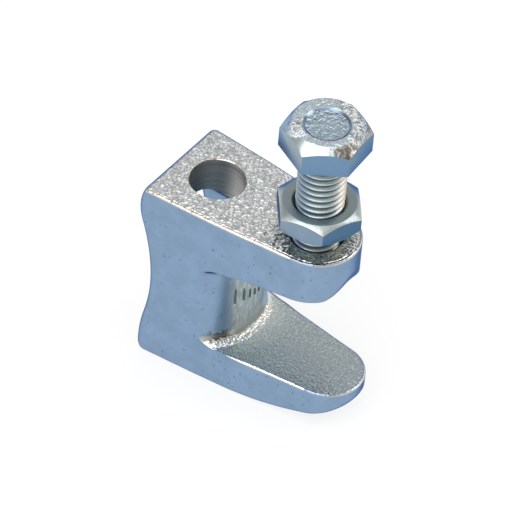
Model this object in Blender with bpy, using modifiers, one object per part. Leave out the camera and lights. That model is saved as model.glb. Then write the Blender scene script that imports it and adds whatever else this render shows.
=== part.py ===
"""Beam clamp for a hanging threaded rod: a cast C-shaped body, a set screw and its lock nut.

Frame: metres, +Z up. The body stands on its flat heel at z = 0. The jaw and the set screw point
to +X, the rod hole and its open channel lie to -X, and y = 0 is the plane of symmetry.
"""
import math

import bmesh
import bpy

MM = 0.001

# The body, seen from above. Lengths along X are taken from the axis of the hanging rod.
ROD_TO_SCREW = 24.2 * MM
ROD_TO_JAW_TIP_CENTRE = 29.65 * MM
HALF_WIDTH_AT_ROD = 11.15 * MM
ARM_END_RADIUS = 9.25 * MM
JAW_TIP_RADIUS = 7.95 * MM
SIDE_DRAFT = 0.0025
SIDE_BOW = 0.3 * MM
REAR_CORNER_RADIUS = 1.3 * MM

# The body, seen from the side. Heights are taken from the heel, depths from the arm's top face.
BODY_HEIGHT = 43.7 * MM
ARM_DEPTH_AT_ROOT = 12.3 * MM
ARM_DEPTH_AT_SCREW = 11.0 * MM
JAW_TOP_HEIGHT = 9.6 * MM
JAW_TIP_THICKNESS = 3.9 * MM
HEEL_FRONT = 12.0 * MM
REAR_REACH = 10.7 * MM
REAR_BULGE_DEPTH = 4.7 * MM
REAR_BULGE_RADIUS = 10.0 * MM
REAR_WAIST_REACH = 7.15 * MM
REAR_WAIST_HEIGHT = 19.2 * MM
REAR_FOOT_REACH = 9.0 * MM
REAR_FOOT_HEIGHT = 3.5 * MM
REAR_UPPER_RADIUS = 43.0 * MM
REAR_LOWER_RADIUS = 38.0 * MM

# Rounded edges and fillets of the body.
TOP_EDGE_RADIUS = 0.6 * MM
ARM_UNDER_EDGE_RADIUS = 0.5 * MM
ARM_NOSE_RADIUS = 5.1 * MM
JAW_EDGE_RADIUS = 0.6 * MM
BASE_EDGE_RADIUS = 1.0 * MM
BASE_NOSE_RADIUS = 1.7 * MM
HEEL_RADIUS = 3.0 * MM
ARM_FILLET = 3.3 * MM
JAW_FILLET = 2.8 * MM
# Share of a fillet's run that a rounded edge still covers where it dies out on the side wall.
CREASE_REST = 0.2
# Shares of the round nose between which an edge grows from the side's radius to the nose's own.
NOSE_EDGE_START = 0.45
NOSE_EDGE_FULL = 1.0
# Plain height left on the arm's nose above its rounded lower edge.
ARM_NOSE_REST = 0.6 * MM

# The web that joins arm and jaw: a wall curved round the rod's channel.
WEB_SIDE_END = 3.2 * MM
WEB_FRONT = 10.1 * MM
ARM_CREASE_RUN = 7.3 * MM
JAW_CREASE_RUN = 6.0 * MM
CHANNEL_HALF_WIDTH = 6.3 * MM
CHANNEL_CEILING_DEPTH = 7.85 * MM
CHANNEL_CEILING_FILLET = 3.8 * MM
CHANNEL_LIP_RADIUS = 2.5 * MM
CHANNEL_LIP_ANGLE = math.radians(60.0)

# Holes.
ROD_HOLE_DIAMETER = 11.5 * MM
ROD_HOLE_CHAMFER = 0.15 * MM
SCREW_HOLE_CHAMFER = 0.4 * MM

# Set screw and lock nut.
THREAD_DIAMETER = 9.9 * MM
THREAD_PITCH = 1.5 * MM
THREAD_DEPTH = 0.92 * MM
THREAD_CLEARANCE = 0.3 * MM
SCREW_LENGTH = 35.0 * MM
SCREW_HEAD_GAP = 23.2 * MM
SCREW_POINT_CHAMFER = 1.3 * MM
HEX_ACROSS_FLATS = 16.0 * MM
HEAD_HEIGHT = 6.3 * MM
HEAD_FACE_RADIUS = 7.3 * MM
HEAD_FACE_STEP = 0.7 * MM
HEAD_FACE_FLARE = 0.25 * MM
HEAD_CHAMFER_ANGLE = math.radians(30.0)
HEAD_RECESS_RADIUS = 4.8 * MM
HEAD_RECESS_DEPTH = 0.35 * MM
HEAD_RECESS_SLOPE = 0.5 * MM
HEAD_TURN = math.radians(-85.7)
NUT_THICKNESS = 5.0 * MM
NUT_REST_GAP = 4.2 * MM
NUT_CHAMFER_RADIUS = 7.4 * MM
NUT_CHAMFER_ANGLE = math.radians(33.0)
NUT_COUNTERSINK_RADIUS = 6.0 * MM
NUT_COUNTERSINK_DEPTH = 0.45 * MM
NUT_TURN = math.radians(-50.1)

# How finely curves are divided.
ROUND_STEPS = 48
THREAD_STEPS = 24
CORNER_STEPS = 4
SIDE_STEPS = 3
STRAIGHT_STEPS = 7
NOSE_STEPS = 12
EDGE_STEPS = 4
FILLET_STEPS = 6
WEB_LEVELS = 6
ARM_LEVELS = 5
ARM_SIDE_LEVELS = 4
JAW_SIDE_LEVELS = 4
CHANNEL_LEVELS = 24
CUT_OVERRUN = 2.0 * MM
# The line inside a limb's flat face closes in by one step per station, up to the full pull.
FLAT_PULL_STEP = 0.5 * MM
FLAT_PULL = 6.4 * MM

# The frame's origin lies under the middle of the body's length.
JAW_REACH = ROD_TO_JAW_TIP_CENTRE + JAW_TIP_RADIUS
ROD_X = (REAR_REACH - JAW_REACH) / 2
SCREW_X = ROD_X + ROD_TO_SCREW
FRONT_STEPS = STRAIGHT_STEPS + NOSE_STEPS


def mix(a, b, t):
    return a + (b - a) * t


def ease(t):
    """From 0 to 1 with level ends, and held at them beyond."""
    t = min(1.0, max(0.0, t))
    return t * t * (3 - 2 * t)


def clear_scene():
    for thing in list(bpy.data.objects):
        bpy.data.objects.remove(thing, do_unlink=True)


def make_collection(name):
    collection = bpy.data.collections.new(name)
    bpy.context.scene.collection.children.link(collection)
    return collection


def make_material(name, colour, roughness):
    material = bpy.data.materials.new(name)
    material.use_nodes = True
    shader = material.node_tree.nodes["Principled BSDF"]
    shader.inputs["Base Color"].default_value = (*colour, 1.0)
    shader.inputs["Roughness"].default_value = roughness
    shader.inputs["Metallic"].default_value = 1.0
    return material


def object_from_bmesh(bm, name, collection, location=(0, 0, 0)):
    mesh = bpy.data.meshes.new(name)
    bm.to_mesh(mesh)
    bm.free()
    thing = bpy.data.objects.new(name, mesh)
    thing.location = location
    collection.objects.link(thing)
    return thing


def hide_as_cutter(thing):
    thing.hide_render = True
    thing.display_type = "WIRE"
    return thing


def add_boolean(thing, other, operation):
    modifier = thing.modifiers.new(f"{operation.lower()}_{other.name}", "BOOLEAN")
    modifier.object = other
    modifier.operation = operation
    modifier.solver = "EXACT"
    return modifier


def smooth_with_edges(thing, angle):
    thing.data.shade_smooth()
    thing.data.set_sharp_from_angle(angle=angle)


def side_slope(centre_x, radius, half_width):
    """How fast a wall that is half_width out at the rod's axis closes in along x, to end as a tangent
    of the round nose about (centre_x, 0)."""
    reach = math.hypot(centre_x, half_width)
    return math.tan(math.atan2(half_width, centre_x) - math.asin(radius / reach))


def wall_at(height):
    """Half width at the rod's axis, slope along x, and where the side's bow ends. The side walls lean
    in towards the base by the casting's draft, and turn from the arm's taper to the jaw's."""
    half_width = HALF_WIDTH_AT_ROD - SIDE_DRAFT * (BODY_HEIGHT - height)
    throat_top = BODY_HEIGHT - ARM_DEPTH_AT_ROOT
    share = min(1.0, max(0.0, (height - JAW_TOP_HEIGHT) / (throat_top - JAW_TOP_HEIGHT)))
    jaw_slope = side_slope(ROD_TO_JAW_TIP_CENTRE, JAW_TIP_RADIUS, half_width)
    arm_slope = side_slope(ROD_TO_SCREW, ARM_END_RADIUS, half_width)
    return half_width, mix(jaw_slope, arm_slope, share), mix(ROD_TO_JAW_TIP_CENTRE, ROD_TO_SCREW, share)


def width_at(x, wall):
    """Half width at x. The side bows out a little between the back and the round nose."""
    half_width, slope, bow_end = wall
    share = min(1.0, max(0.0, (x + REAR_REACH) / (bow_end + REAR_REACH)))
    return half_width - slope * x + SIDE_BOW * (4 * share * (1 - share))**2


def hollow_to_bulge(distance, hollow_radius, bulge_distance, swell):
    """Height, above the bottom of a hollow, of a curve that runs from it, as a tangent, into a bulge
    whose crest is bulge_distance away and swell higher."""
    hollow_bend = 1 / (2 * hollow_radius)
    bulge_bend = swell * hollow_bend / (bulge_distance**2 * hollow_bend - swell)
    if distance < bulge_distance * bulge_bend / (hollow_bend + bulge_bend):
        return hollow_bend * distance**2
    return swell - bulge_bend * (distance - bulge_distance)**2


def rear_reach(height):
    """How far the back edge lies behind the rod's axis: a hollow waist that swells to a bulge beside
    the arm and to a lower one at the heel."""
    rise = height - REAR_WAIST_HEIGHT
    bulge_rise = BODY_HEIGHT - REAR_BULGE_DEPTH - REAR_WAIST_HEIGHT
    if rise > bulge_rise:
        return REAR_REACH - (rise - bulge_rise)**2 / (2 * REAR_BULGE_RADIUS)
    if rise > 0:
        return REAR_WAIST_REACH + hollow_to_bulge(rise, REAR_UPPER_RADIUS, bulge_rise,
                                                  REAR_REACH - REAR_WAIST_REACH)
    return REAR_WAIST_REACH + hollow_to_bulge(-rise, REAR_LOWER_RADIUS, REAR_WAIST_HEIGHT - REAR_FOOT_HEIGHT,
                                              REAR_FOOT_REACH - REAR_WAIST_REACH)


def arm_under(x):
    """Height of the arm's underside, which rises a little towards the screw."""
    slope = (ARM_DEPTH_AT_ROOT - ARM_DEPTH_AT_SCREW) / (ROD_TO_SCREW - WEB_FRONT)
    return BODY_HEIGHT - ARM_DEPTH_AT_ROOT + slope * (x - WEB_FRONT)


def base_under(x):
    """Height of the underside: flat at the heel, then one long arc up to the jaw's tip."""
    rise = JAW_TOP_HEIGHT - JAW_TIP_THICKNESS
    run = JAW_REACH - HEEL_FRONT
    radius = (run**2 + rise**2) / (2 * rise)
    beyond = max(0.0, x - HEEL_FRONT)
    return radius - math.sqrt(radius**2 - beyond**2)


def rear_and_side(height, side_end, wall, back_pull=0.0, side_pull=0.0):
    """Half a section's points from the back edge, round its corner and along the side. The pulls
    move the back and the side in, and leave the corner as round as it was."""
    back = -rear_reach(height) + back_pull
    corner_x = back + REAR_CORNER_RADIUS
    corner_y = width_at(corner_x, wall) - REAR_CORNER_RADIUS - side_pull
    points = []
    for i in range(CORNER_STEPS + 1):
        turn = math.pi / 2 * i / CORNER_STEPS
        points.append((corner_x - REAR_CORNER_RADIUS * math.cos(turn),
                       -corner_y - REAR_CORNER_RADIUS * math.sin(turn)))
    for i in range(1, SIDE_STEPS + 1):
        x = mix(corner_x, side_end, i / SIDE_STEPS)
        points.append((x, -width_at(x, wall) + side_pull))
    return points


def limb_front(side_end, wall, centre_x, radius, inset):
    """The rest of a limb's half outline: a straight side, then the round nose. inset(t) pulls the
    point at t, from 0 at the side to 1 at the nose's tip, in from the outline."""
    slope = wall[1]
    lean = math.atan(slope)
    meet_x = centre_x + radius * math.sin(lean)
    points = []
    for i in range(1, STRAIGHT_STEPS + 1):
        x = mix(side_end, meet_x, i / STRAIGHT_STEPS)
        pull = inset(i / FRONT_STEPS)
        points.append((x - pull * math.sin(lean), -width_at(x, wall) + pull * math.cos(lean)))
    for i in range(1, NOSE_STEPS + 1):
        turn = mix(math.pi / 2 - lean, 0.0, i / NOSE_STEPS)
        at = radius - inset((STRAIGHT_STEPS + i) / FRONT_STEPS)
        points.append((centre_x + at * math.cos(turn), -at * math.sin(turn)))
    return points


def web_front(side_end, front, wall):
    """The web's half outline: it leaves the side wall smoothly and rounds to the throat."""
    half_width = width_at(side_end, wall)
    points = []
    for i in range(1, FRONT_STEPS + 1):
        turn = math.pi / 2 * (1 - i / FRONT_STEPS)
        points.append((mix(side_end, front, math.cos(turn)), -half_width * math.sin(turn)))
    return points


def edge_arc(step):
    """Inset and drop, as shares of the radius, along a quarter-round edge."""
    turn = math.pi / 2 * step / EDGE_STEPS
    return 1 - math.cos(turn), 1 - math.sin(turn)


def nose_radius(side, nose, t):
    """Edge radius at t along a limb's front: none where the limb starts, then the side's, then the
    nose's own."""
    start = min(1.0, t * FRONT_STEPS / 2)
    along_nose = (t * FRONT_STEPS - STRAIGHT_STEPS) / NOSE_STEPS
    return mix(side * start, nose, ease((along_nose - NOSE_EDGE_START) / (NOSE_EDGE_FULL - NOSE_EDGE_START)))


def loops_between(upper, lower, levels):
    """Loops that lead evenly from one to another, with the back edge on the rear's curve."""
    loops = []
    for level in range(1, levels):
        loop = [tuple(mix(a, b, level / levels) for a, b in zip(above, below))
                for above, below in zip(upper, lower)]
        back, _, height = loop[0]
        shift = -rear_reach(height) - back
        loops.append([(x + shift, y, z) for x, y, z in loop[:CORNER_STEPS + 1]] + loop[CORNER_STEPS + 1:])
    return loops


def arm_loops():
    """The arm from its top face down to its underside, whose edge is rounded."""
    loops = []
    for step in range(EDGE_STEPS, -1, -1):
        pull, drop = edge_arc(step)
        height = BODY_HEIGHT - TOP_EDGE_RADIUS * drop
        loops.append(plain_loop(height, TOP_EDGE_RADIUS * pull))
    lowest = arm_under(ROD_TO_SCREW + ARM_END_RADIUS) + ARM_NOSE_RADIUS + ARM_NOSE_REST
    for level in range(1, ARM_LEVELS + 1):
        loops.append(plain_loop(mix(BODY_HEIGHT - TOP_EDGE_RADIUS, lowest, level / ARM_LEVELS), 0.0))
    loops += loops_between(loops[-1], arm_edge_loop(0), ARM_SIDE_LEVELS)
    return loops + [arm_edge_loop(step) for step in range(EDGE_STEPS + 1)]


def plain_loop(height, pull):
    """The arm's whole outline at one height, pulled in all round."""
    wall = wall_at(height)
    side_end = WEB_SIDE_END + ARM_CREASE_RUN + ARM_FILLET
    points = rear_and_side(height, side_end, wall) + limb_front(
        side_end, wall, ROD_TO_SCREW, ARM_END_RADIUS, lambda t: 0.0)
    return [(x, y, height) for x, y in inset_loop(points, pull)]


def inset_loop(points, pull):
    """Pull a half outline in along its normals. Its last point stays on y = 0."""
    if not pull:
        return points
    mirrored = [(x, -y) for x, y in points]
    chain = [mirrored[0]] + points + [mirrored[-2]]
    moved = []
    for before, (x, y), after in zip(chain, points, chain[2:]):
        run, rise = after[0] - before[0], after[1] - before[1]
        length = math.hypot(run, rise)
        moved.append((x - rise / length * pull, y + run / length * pull))
    return moved


def flat_front(side_end, wall, centre_x, radius):
    """A line inside a limb's flat face that closes in from the side, so that the face's outer strip
    runs square to its edge."""
    return limb_front(side_end, wall, centre_x, radius,
                      lambda t: min(FLAT_PULL, FLAT_PULL_STEP * FRONT_STEPS * t))


def arm_edge_loop(step):
    """One loop of the arm's rounded lower edge."""
    pull, drop = edge_arc(step)
    share = step / EDGE_STEPS
    crease = WEB_SIDE_END + ARM_CREASE_RUN
    height = mix(BODY_HEIGHT - ARM_DEPTH_AT_ROOT + ARM_UNDER_EDGE_RADIUS, arm_under(crease), share)
    side_end = crease + ARM_FILLET * mix(1.0, CREASE_REST, share)
    wall = wall_at(height)

    def radius_at(t):
        return nose_radius(ARM_UNDER_EDGE_RADIUS, ARM_NOSE_RADIUS, t)

    front = limb_front(side_end, wall, ROD_TO_SCREW, ARM_END_RADIUS, lambda t: radius_at(t) * pull)
    lifts = [radius_at(i / FRONT_STEPS) * drop for i in range(1, FRONT_STEPS + 1)]
    return ([(x, y, height) for x, y in rear_and_side(height, side_end, wall)]
            + [(x, y, arm_under(x) + lift) for (x, y), lift in zip(front, lifts)])


def arm_fillet_loops():
    """A line inside the arm's underside, and the fillet from there down into the web."""
    crease = WEB_SIDE_END + ARM_CREASE_RUN
    height = arm_under(crease) - ARM_UNDER_EDGE_RADIUS * CREASE_REST / 2
    side_end = crease + ARM_FILLET * CREASE_REST
    wall = wall_at(height)
    flat = flat_front(side_end, wall, ROD_TO_SCREW, ARM_END_RADIUS)
    loops = [[(x, y, height) for x, y in rear_and_side(height, side_end, wall)]
             + [(x, y, arm_under(x)) for x, y in flat]]
    for step in range(FILLET_STEPS, -1, -1):
        turn = math.pi / 2 * step / FILLET_STEPS
        out, down = 1 - math.cos(turn), ARM_FILLET * (1 - math.sin(turn))
        side_end = WEB_SIDE_END + ARM_CREASE_RUN * out
        height = arm_under(side_end) - down - ARM_UNDER_EDGE_RADIUS * CREASE_REST
        wall = wall_at(height)
        front = web_front(side_end, WEB_FRONT + ARM_FILLET * out, wall)
        loops.append([(x, y, height) for x, y in rear_and_side(height, side_end, wall)]
                     + [(x, y, mix(height, arm_under(x) - down, min(1.0, i / CORNER_STEPS)))
                        for i, (x, y) in enumerate(front, 1)])
    return loops


def web_loops(top, bottom):
    """The web between its two fillets."""
    loops = []
    for level in range(1, WEB_LEVELS):
        height = mix(top, bottom, level / WEB_LEVELS)
        wall = wall_at(height)
        points = rear_and_side(height, WEB_SIDE_END, wall) + web_front(WEB_SIDE_END, WEB_FRONT, wall)
        loops.append([(x, y, height) for x, y in points])
    return loops


def jaw_loops():
    """The fillet out of the web, the jaw's top, its rounded edges, and its sides down to the base."""
    loops = []
    for step in range(FILLET_STEPS + 1):
        turn = math.pi / 2 * step / FILLET_STEPS
        out, up = 1 - math.cos(turn), JAW_FILLET * (1 - math.sin(turn))
        side_end = WEB_SIDE_END + JAW_CREASE_RUN * out
        height = JAW_TOP_HEIGHT + up
        wall = wall_at(height)
        front = web_front(side_end, WEB_FRONT + JAW_FILLET * out, wall)
        loops.append([(x, y, height) for x, y in rear_and_side(height, side_end, wall) + front])
    side_end += JAW_FILLET * CREASE_REST
    height -= JAW_EDGE_RADIUS * CREASE_REST / 2
    flat = flat_front(side_end, wall, ROD_TO_JAW_TIP_CENTRE, JAW_TIP_RADIUS)
    loops.append([(x, y, height) for x, y in rear_and_side(height, side_end, wall)]
                 + [(x, y, JAW_TOP_HEIGHT) for x, y in flat])
    loops += [jaw_edge_loop(step) for step in range(EDGE_STEPS, -1, -1)]
    loops += loops_between(loops[-1], base_loop(0), JAW_SIDE_LEVELS)
    return loops + [base_loop(step) for step in range(EDGE_STEPS + 1)]


def jaw_edge_loop(step):
    """One loop of the rounded edge below the jaw's flat top."""
    pull, drop = edge_arc(step)
    share = 1 - step / EDGE_STEPS
    height = JAW_TOP_HEIGHT - JAW_EDGE_RADIUS * (CREASE_REST + share)
    side_end = WEB_SIDE_END + JAW_CREASE_RUN + JAW_FILLET * mix(CREASE_REST, 1.0, share)
    wall = wall_at(JAW_TOP_HEIGHT)

    def radius_at(t):
        return nose_radius(JAW_EDGE_RADIUS, JAW_EDGE_RADIUS, t)

    front = limb_front(side_end, wall, ROD_TO_JAW_TIP_CENTRE, JAW_TIP_RADIUS, lambda t: radius_at(t) * pull)
    drops = [radius_at(i / FRONT_STEPS) * drop for i in range(1, FRONT_STEPS + 1)]
    return ([(x, y, height) for x, y in rear_and_side(height, side_end, wall)]
            + [(x, y, JAW_TOP_HEIGHT - down) for (x, y), down in zip(front, drops)])


def base_loop(step):
    """One loop of the edge round the base: wide at the heel, narrow at the sides, wider at the tip."""
    pull, drop = edge_arc(step)
    wall = wall_at(0.0)
    side_end = WEB_SIDE_END + JAW_CREASE_RUN + JAW_FILLET

    def radius_at(t):
        return mix(BASE_EDGE_RADIUS, BASE_NOSE_RADIUS, ease((t * FRONT_STEPS - STRAIGHT_STEPS) / NOSE_STEPS))

    rear = rear_and_side(HEEL_RADIUS, side_end, wall, HEEL_RADIUS * pull, BASE_EDGE_RADIUS * pull)
    front = limb_front(side_end, wall, ROD_TO_JAW_TIP_CENTRE, JAW_TIP_RADIUS, lambda t: radius_at(t) * pull)
    radii = [mix(HEEL_RADIUS, BASE_EDGE_RADIUS, min(1.0, i / CORNER_STEPS)) for i in range(len(rear))]
    radii += [radius_at(i / FRONT_STEPS) for i in range(1, FRONT_STEPS + 1)]
    return [(x, y, base_under(x) + radius * drop) for (x, y), radius in zip(rear + front, radii)]


def bridge(bm, loops):
    """Skin a stack of half loops, mirrored to y > 0, with a flat top and an underside in strips."""
    rings = []
    for half in loops:
        full = half + [(x, -y, z) for x, y, z in reversed(half[:-1])]
        rings.append([bm.verts.new((x + ROD_X, y, z)) for x, y, z in full])
    count = len(rings[0])
    for upper, lower in zip(rings, rings[1:]):
        for i in range(count):
            j = (i + 1) % count
            bm.faces.new((upper[i], lower[i], lower[j], upper[j]))
    bm.faces.new(rings[0])
    last = rings[-1]
    tip = len(loops[-1]) - 1
    for i in range(tip - 1):
        bm.faces.new((last[i], last[-i - 1], last[-i - 2], last[i + 1]))
    bm.faces.new((last[tip - 1], last[tip + 1], last[tip]))
    bmesh.ops.recalc_face_normals(bm, faces=bm.faces)


def make_body_blank(collection):
    upper = arm_loops() + arm_fillet_loops()
    lower = jaw_loops()
    between = web_loops(upper[-1][-1][2], lower[0][-1][2])
    bm = bmesh.new()
    bridge(bm, upper + between + lower)
    return object_from_bmesh(bm, "clamp_body", collection)


def channel_section(height, shrink):
    """Half of the rod channel's outline at one height, from its round end to its open back lips."""
    half_width = CHANNEL_HALF_WIDTH - shrink
    lip_x = -rear_reach(height) + CHANNEL_LIP_RADIUS
    points = []
    for i in range(NOSE_STEPS + 1):
        turn = math.pi / 2 * i / NOSE_STEPS
        points.append((half_width * math.cos(turn), -half_width * math.sin(turn)))
    for i in range(EDGE_STEPS + 1):
        turn = CHANNEL_LIP_ANGLE * i / EDGE_STEPS
        points.append((lip_x - CHANNEL_LIP_RADIUS * math.sin(turn),
                       -half_width - CHANNEL_LIP_RADIUS * (1 - math.cos(turn))))
    beyond = points[-1][0] + REAR_REACH + CUT_OVERRUN
    points.append((-REAR_REACH - CUT_OVERRUN, points[-1][1] - beyond * math.tan(CHANNEL_LIP_ANGLE)))
    return points


def make_channel_cutter(collection):
    straight_top = BODY_HEIGHT - CHANNEL_CEILING_DEPTH - CHANNEL_CEILING_FILLET
    stations = [(mix(-CUT_OVERRUN, straight_top, i / CHANNEL_LEVELS), 0.0)
                for i in range(CHANNEL_LEVELS + 1)]
    for step in range(1, EDGE_STEPS + 1):
        turn = math.pi / 2 * step / EDGE_STEPS
        stations.append((straight_top + CHANNEL_CEILING_FILLET * math.sin(turn),
                         CHANNEL_CEILING_FILLET * (1 - math.cos(turn))))
    bm = bmesh.new()
    rings = []
    for height, shrink in stations:
        half = channel_section(height, shrink)
        full = half + [(x, -y) for x, y in reversed(half[1:])]
        rings.append([bm.verts.new((x + ROD_X, y, height)) for x, y in full])
    count = len(rings[0])
    for lower, upper in zip(rings, rings[1:]):
        for i in range(count):
            j = (i + 1) % count
            bm.faces.new((lower[i], lower[j], upper[j], upper[i]))
    bm.faces.new(rings[0])
    bm.faces.new(rings[-1])
    bmesh.ops.recalc_face_normals(bm, faces=bm.faces)
    return hide_as_cutter(object_from_bmesh(bm, "channel_cutter", collection))


def make_turned(name, profile, collection, location):
    """A solid of revolution about the vertical through location. The profile is a list of (radius,
    height) that runs from the axis at the top, down the outer side, to the axis at the bottom."""
    bm = bmesh.new()
    chain = [bm.verts.new((radius, 0.0, height)) for radius, height in profile]
    for a, b in zip(chain, chain[1:]):
        bm.edges.new((a, b))
    thing = object_from_bmesh(bm, name, collection, location)
    screw = thing.modifiers.new("turn", "SCREW")
    screw.steps = ROUND_STEPS
    screw.render_steps = ROUND_STEPS
    screw.use_merge_vertices = True
    screw.merge_threshold = 0.00001
    return thing


def hole_cutter(name, radius, top, bottom, chamfer, collection, x, lower_chamfer):
    """A cutter for a round hole with a bevelled rim at the height top, and, where lower_chamfer is
    given, another at bottom. Without one it ends at bottom, in the open channel."""
    profile = [
        (0.0, top + CUT_OVERRUN),
        (radius + chamfer, top + CUT_OVERRUN),
        (radius + chamfer, top),
        (radius, top - chamfer),
    ]
    if lower_chamfer:
        profile += [
            (radius, bottom + lower_chamfer),
            (radius + lower_chamfer, bottom),
            (radius + lower_chamfer, bottom - CUT_OVERRUN),
            (0.0, bottom - CUT_OVERRUN),
        ]
    else:
        profile += [(radius, bottom), (0.0, bottom)]
    return hide_as_cutter(make_turned(name, profile, collection, (x, 0, 0)))


def make_body(parts, cutters, material):
    body = make_body_blank(parts)
    vault_foot = BODY_HEIGHT - CHANNEL_CEILING_DEPTH - CHANNEL_CEILING_FILLET
    screw_hole_radius = THREAD_DIAMETER / 2 + THREAD_CLEARANCE
    rod_hole = hole_cutter("rod_hole_cutter", ROD_HOLE_DIAMETER / 2, BODY_HEIGHT, vault_foot,
                           ROD_HOLE_CHAMFER, cutters, ROD_X, 0.0)
    screw_hole = hole_cutter("screw_hole_cutter", screw_hole_radius, BODY_HEIGHT, arm_under(ROD_TO_SCREW),
                             SCREW_HOLE_CHAMFER, cutters, SCREW_X, SCREW_HOLE_CHAMFER)
    for cutter in (make_channel_cutter(cutters), rod_hole, screw_hole):
        add_boolean(body, cutter, "DIFFERENCE")
    body.data.materials.append(material)
    smooth_with_edges(body, math.radians(35))
    return body


def make_hexagon(name, height, turn, collection, location):
    """A hexagonal prism standing on location, with a corner in the direction turn."""
    bm = bmesh.new()
    radius = HEX_ACROSS_FLATS / math.sqrt(3)
    bmesh.ops.create_cone(bm, cap_ends=True, segments=6, radius1=radius, radius2=radius, depth=height)
    bmesh.ops.translate(bm, verts=bm.verts, vec=(0, 0, height / 2))
    first = max(bm.verts, key=lambda v: v.co.x)
    offset = math.atan2(first.co.y, first.co.x)
    thing = object_from_bmesh(bm, name, collection, location)
    thing.rotation_euler = (0, 0, turn - offset)
    return thing


def make_threaded_rod(name, length, collection, location):
    """A rod with one continuous helical thread, from location down by length. Its ends are flat cuts
    through the helix, and its point is chamfered."""
    crest = THREAD_DIAMETER / 2
    root = crest - THREAD_DEPTH
    chain = [
        (root, THREAD_PITCH * 7 / 8),
        (crest, THREAD_PITCH * 9 / 16),
        (crest, THREAD_PITCH * 7 / 16),
        (root, THREAD_PITCH / 8),
        (root, -THREAD_PITCH / 8),
    ]
    turns = math.ceil(length / THREAD_PITCH) + 3
    bm = bmesh.new()
    verts = [bm.verts.new((radius, 0.0, height)) for radius, height in chain]
    for a, b in zip(verts, verts[1:]):
        bm.edges.new((a, b))
    guide = object_from_bmesh(bm, name + "_guide", collection)
    screw = guide.modifiers.new("thread", "SCREW")
    screw.screw_offset = THREAD_PITCH
    screw.iterations = turns
    screw.steps = THREAD_STEPS
    screw.render_steps = THREAD_STEPS
    screw.use_merge_vertices = True
    screw.merge_threshold = 0.00001
    mesh = bpy.data.meshes.new_from_object(guide.evaluated_get(bpy.context.evaluated_depsgraph_get()))
    bpy.data.objects.remove(guide, do_unlink=True)
    bm = bmesh.new()
    bm.from_mesh(mesh)
    bpy.data.meshes.remove(mesh)
    bmesh.ops.remove_doubles(bm, verts=bm.verts, dist=0.000005)
    bmesh.ops.translate(bm, verts=bm.verts, vec=(0, 0, -length - THREAD_PITCH * 1.5))
    for vert in bm.verts:
        radius = math.hypot(vert.co.x, vert.co.y)
        limit = crest - SCREW_POINT_CHAMFER + max(0.0, vert.co.z + length)
        if radius > limit:
            vert.co.x *= limit / radius
            vert.co.y *= limit / radius
    for height, outward in ((0.0, 1), (-length, -1)):
        bmesh.ops.bisect_plane(bm, geom=bm.verts[:] + bm.edges[:] + bm.faces[:], dist=1e-7,
                               plane_co=(0, 0, height), plane_no=(0, 0, outward), clear_outer=True)
        rim = [e for e in bm.edges if e.is_boundary and all(abs(v.co.z - height) < 1e-6 for v in e.verts)]
        bmesh.ops.edgeloop_fill(bm, edges=rim)
    bmesh.ops.recalc_face_normals(bm, faces=bm.faces)
    return object_from_bmesh(bm, name, collection, location)


def make_set_screw(parts, cutters, material):
    """The origin lies on the screw's axis, at the underside of the head."""
    place = (SCREW_X, 0, BODY_HEIGHT + SCREW_HEAD_GAP)
    head = make_hexagon("set_screw", HEAD_HEIGHT, HEAD_TURN, parts, place)
    corner = HEX_ACROSS_FLATS / math.sqrt(3) + CUT_OVERRUN
    step_radius = HEAD_FACE_RADIUS + HEAD_FACE_FLARE
    fall = HEAD_FACE_STEP + (corner - step_radius) * math.tan(HEAD_CHAMFER_ANGLE)
    envelope = make_turned("head_chamfer_cutter", [
        (0.0, HEAD_HEIGHT),
        (HEAD_FACE_RADIUS, HEAD_HEIGHT),
        (step_radius, HEAD_HEIGHT - HEAD_FACE_STEP),
        (corner, HEAD_HEIGHT - fall),
        (corner, -CUT_OVERRUN),
        (0.0, -CUT_OVERRUN),
    ], cutters, place)
    recess = make_turned("head_recess_cutter", [
        (0.0, HEAD_HEIGHT + CUT_OVERRUN),
        (HEAD_RECESS_RADIUS, HEAD_HEIGHT + CUT_OVERRUN),
        (HEAD_RECESS_RADIUS, HEAD_HEIGHT),
        (HEAD_RECESS_RADIUS - HEAD_RECESS_SLOPE, HEAD_HEIGHT - HEAD_RECESS_DEPTH),
        (0.0, HEAD_HEIGHT - HEAD_RECESS_DEPTH),
    ], cutters, place)
    buried = HEAD_HEIGHT / 3
    rod = make_threaded_rod("screw_thread_cutter", SCREW_LENGTH + buried, cutters,
                            (place[0], place[1], place[2] + buried))
    add_boolean(head, envelope, "INTERSECT")
    add_boolean(head, recess, "DIFFERENCE")
    add_boolean(head, rod, "UNION")
    for cutter in (envelope, recess, rod):
        hide_as_cutter(cutter)
    head.data.materials.append(material)
    smooth_with_edges(head, math.radians(25))
    return head


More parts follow.
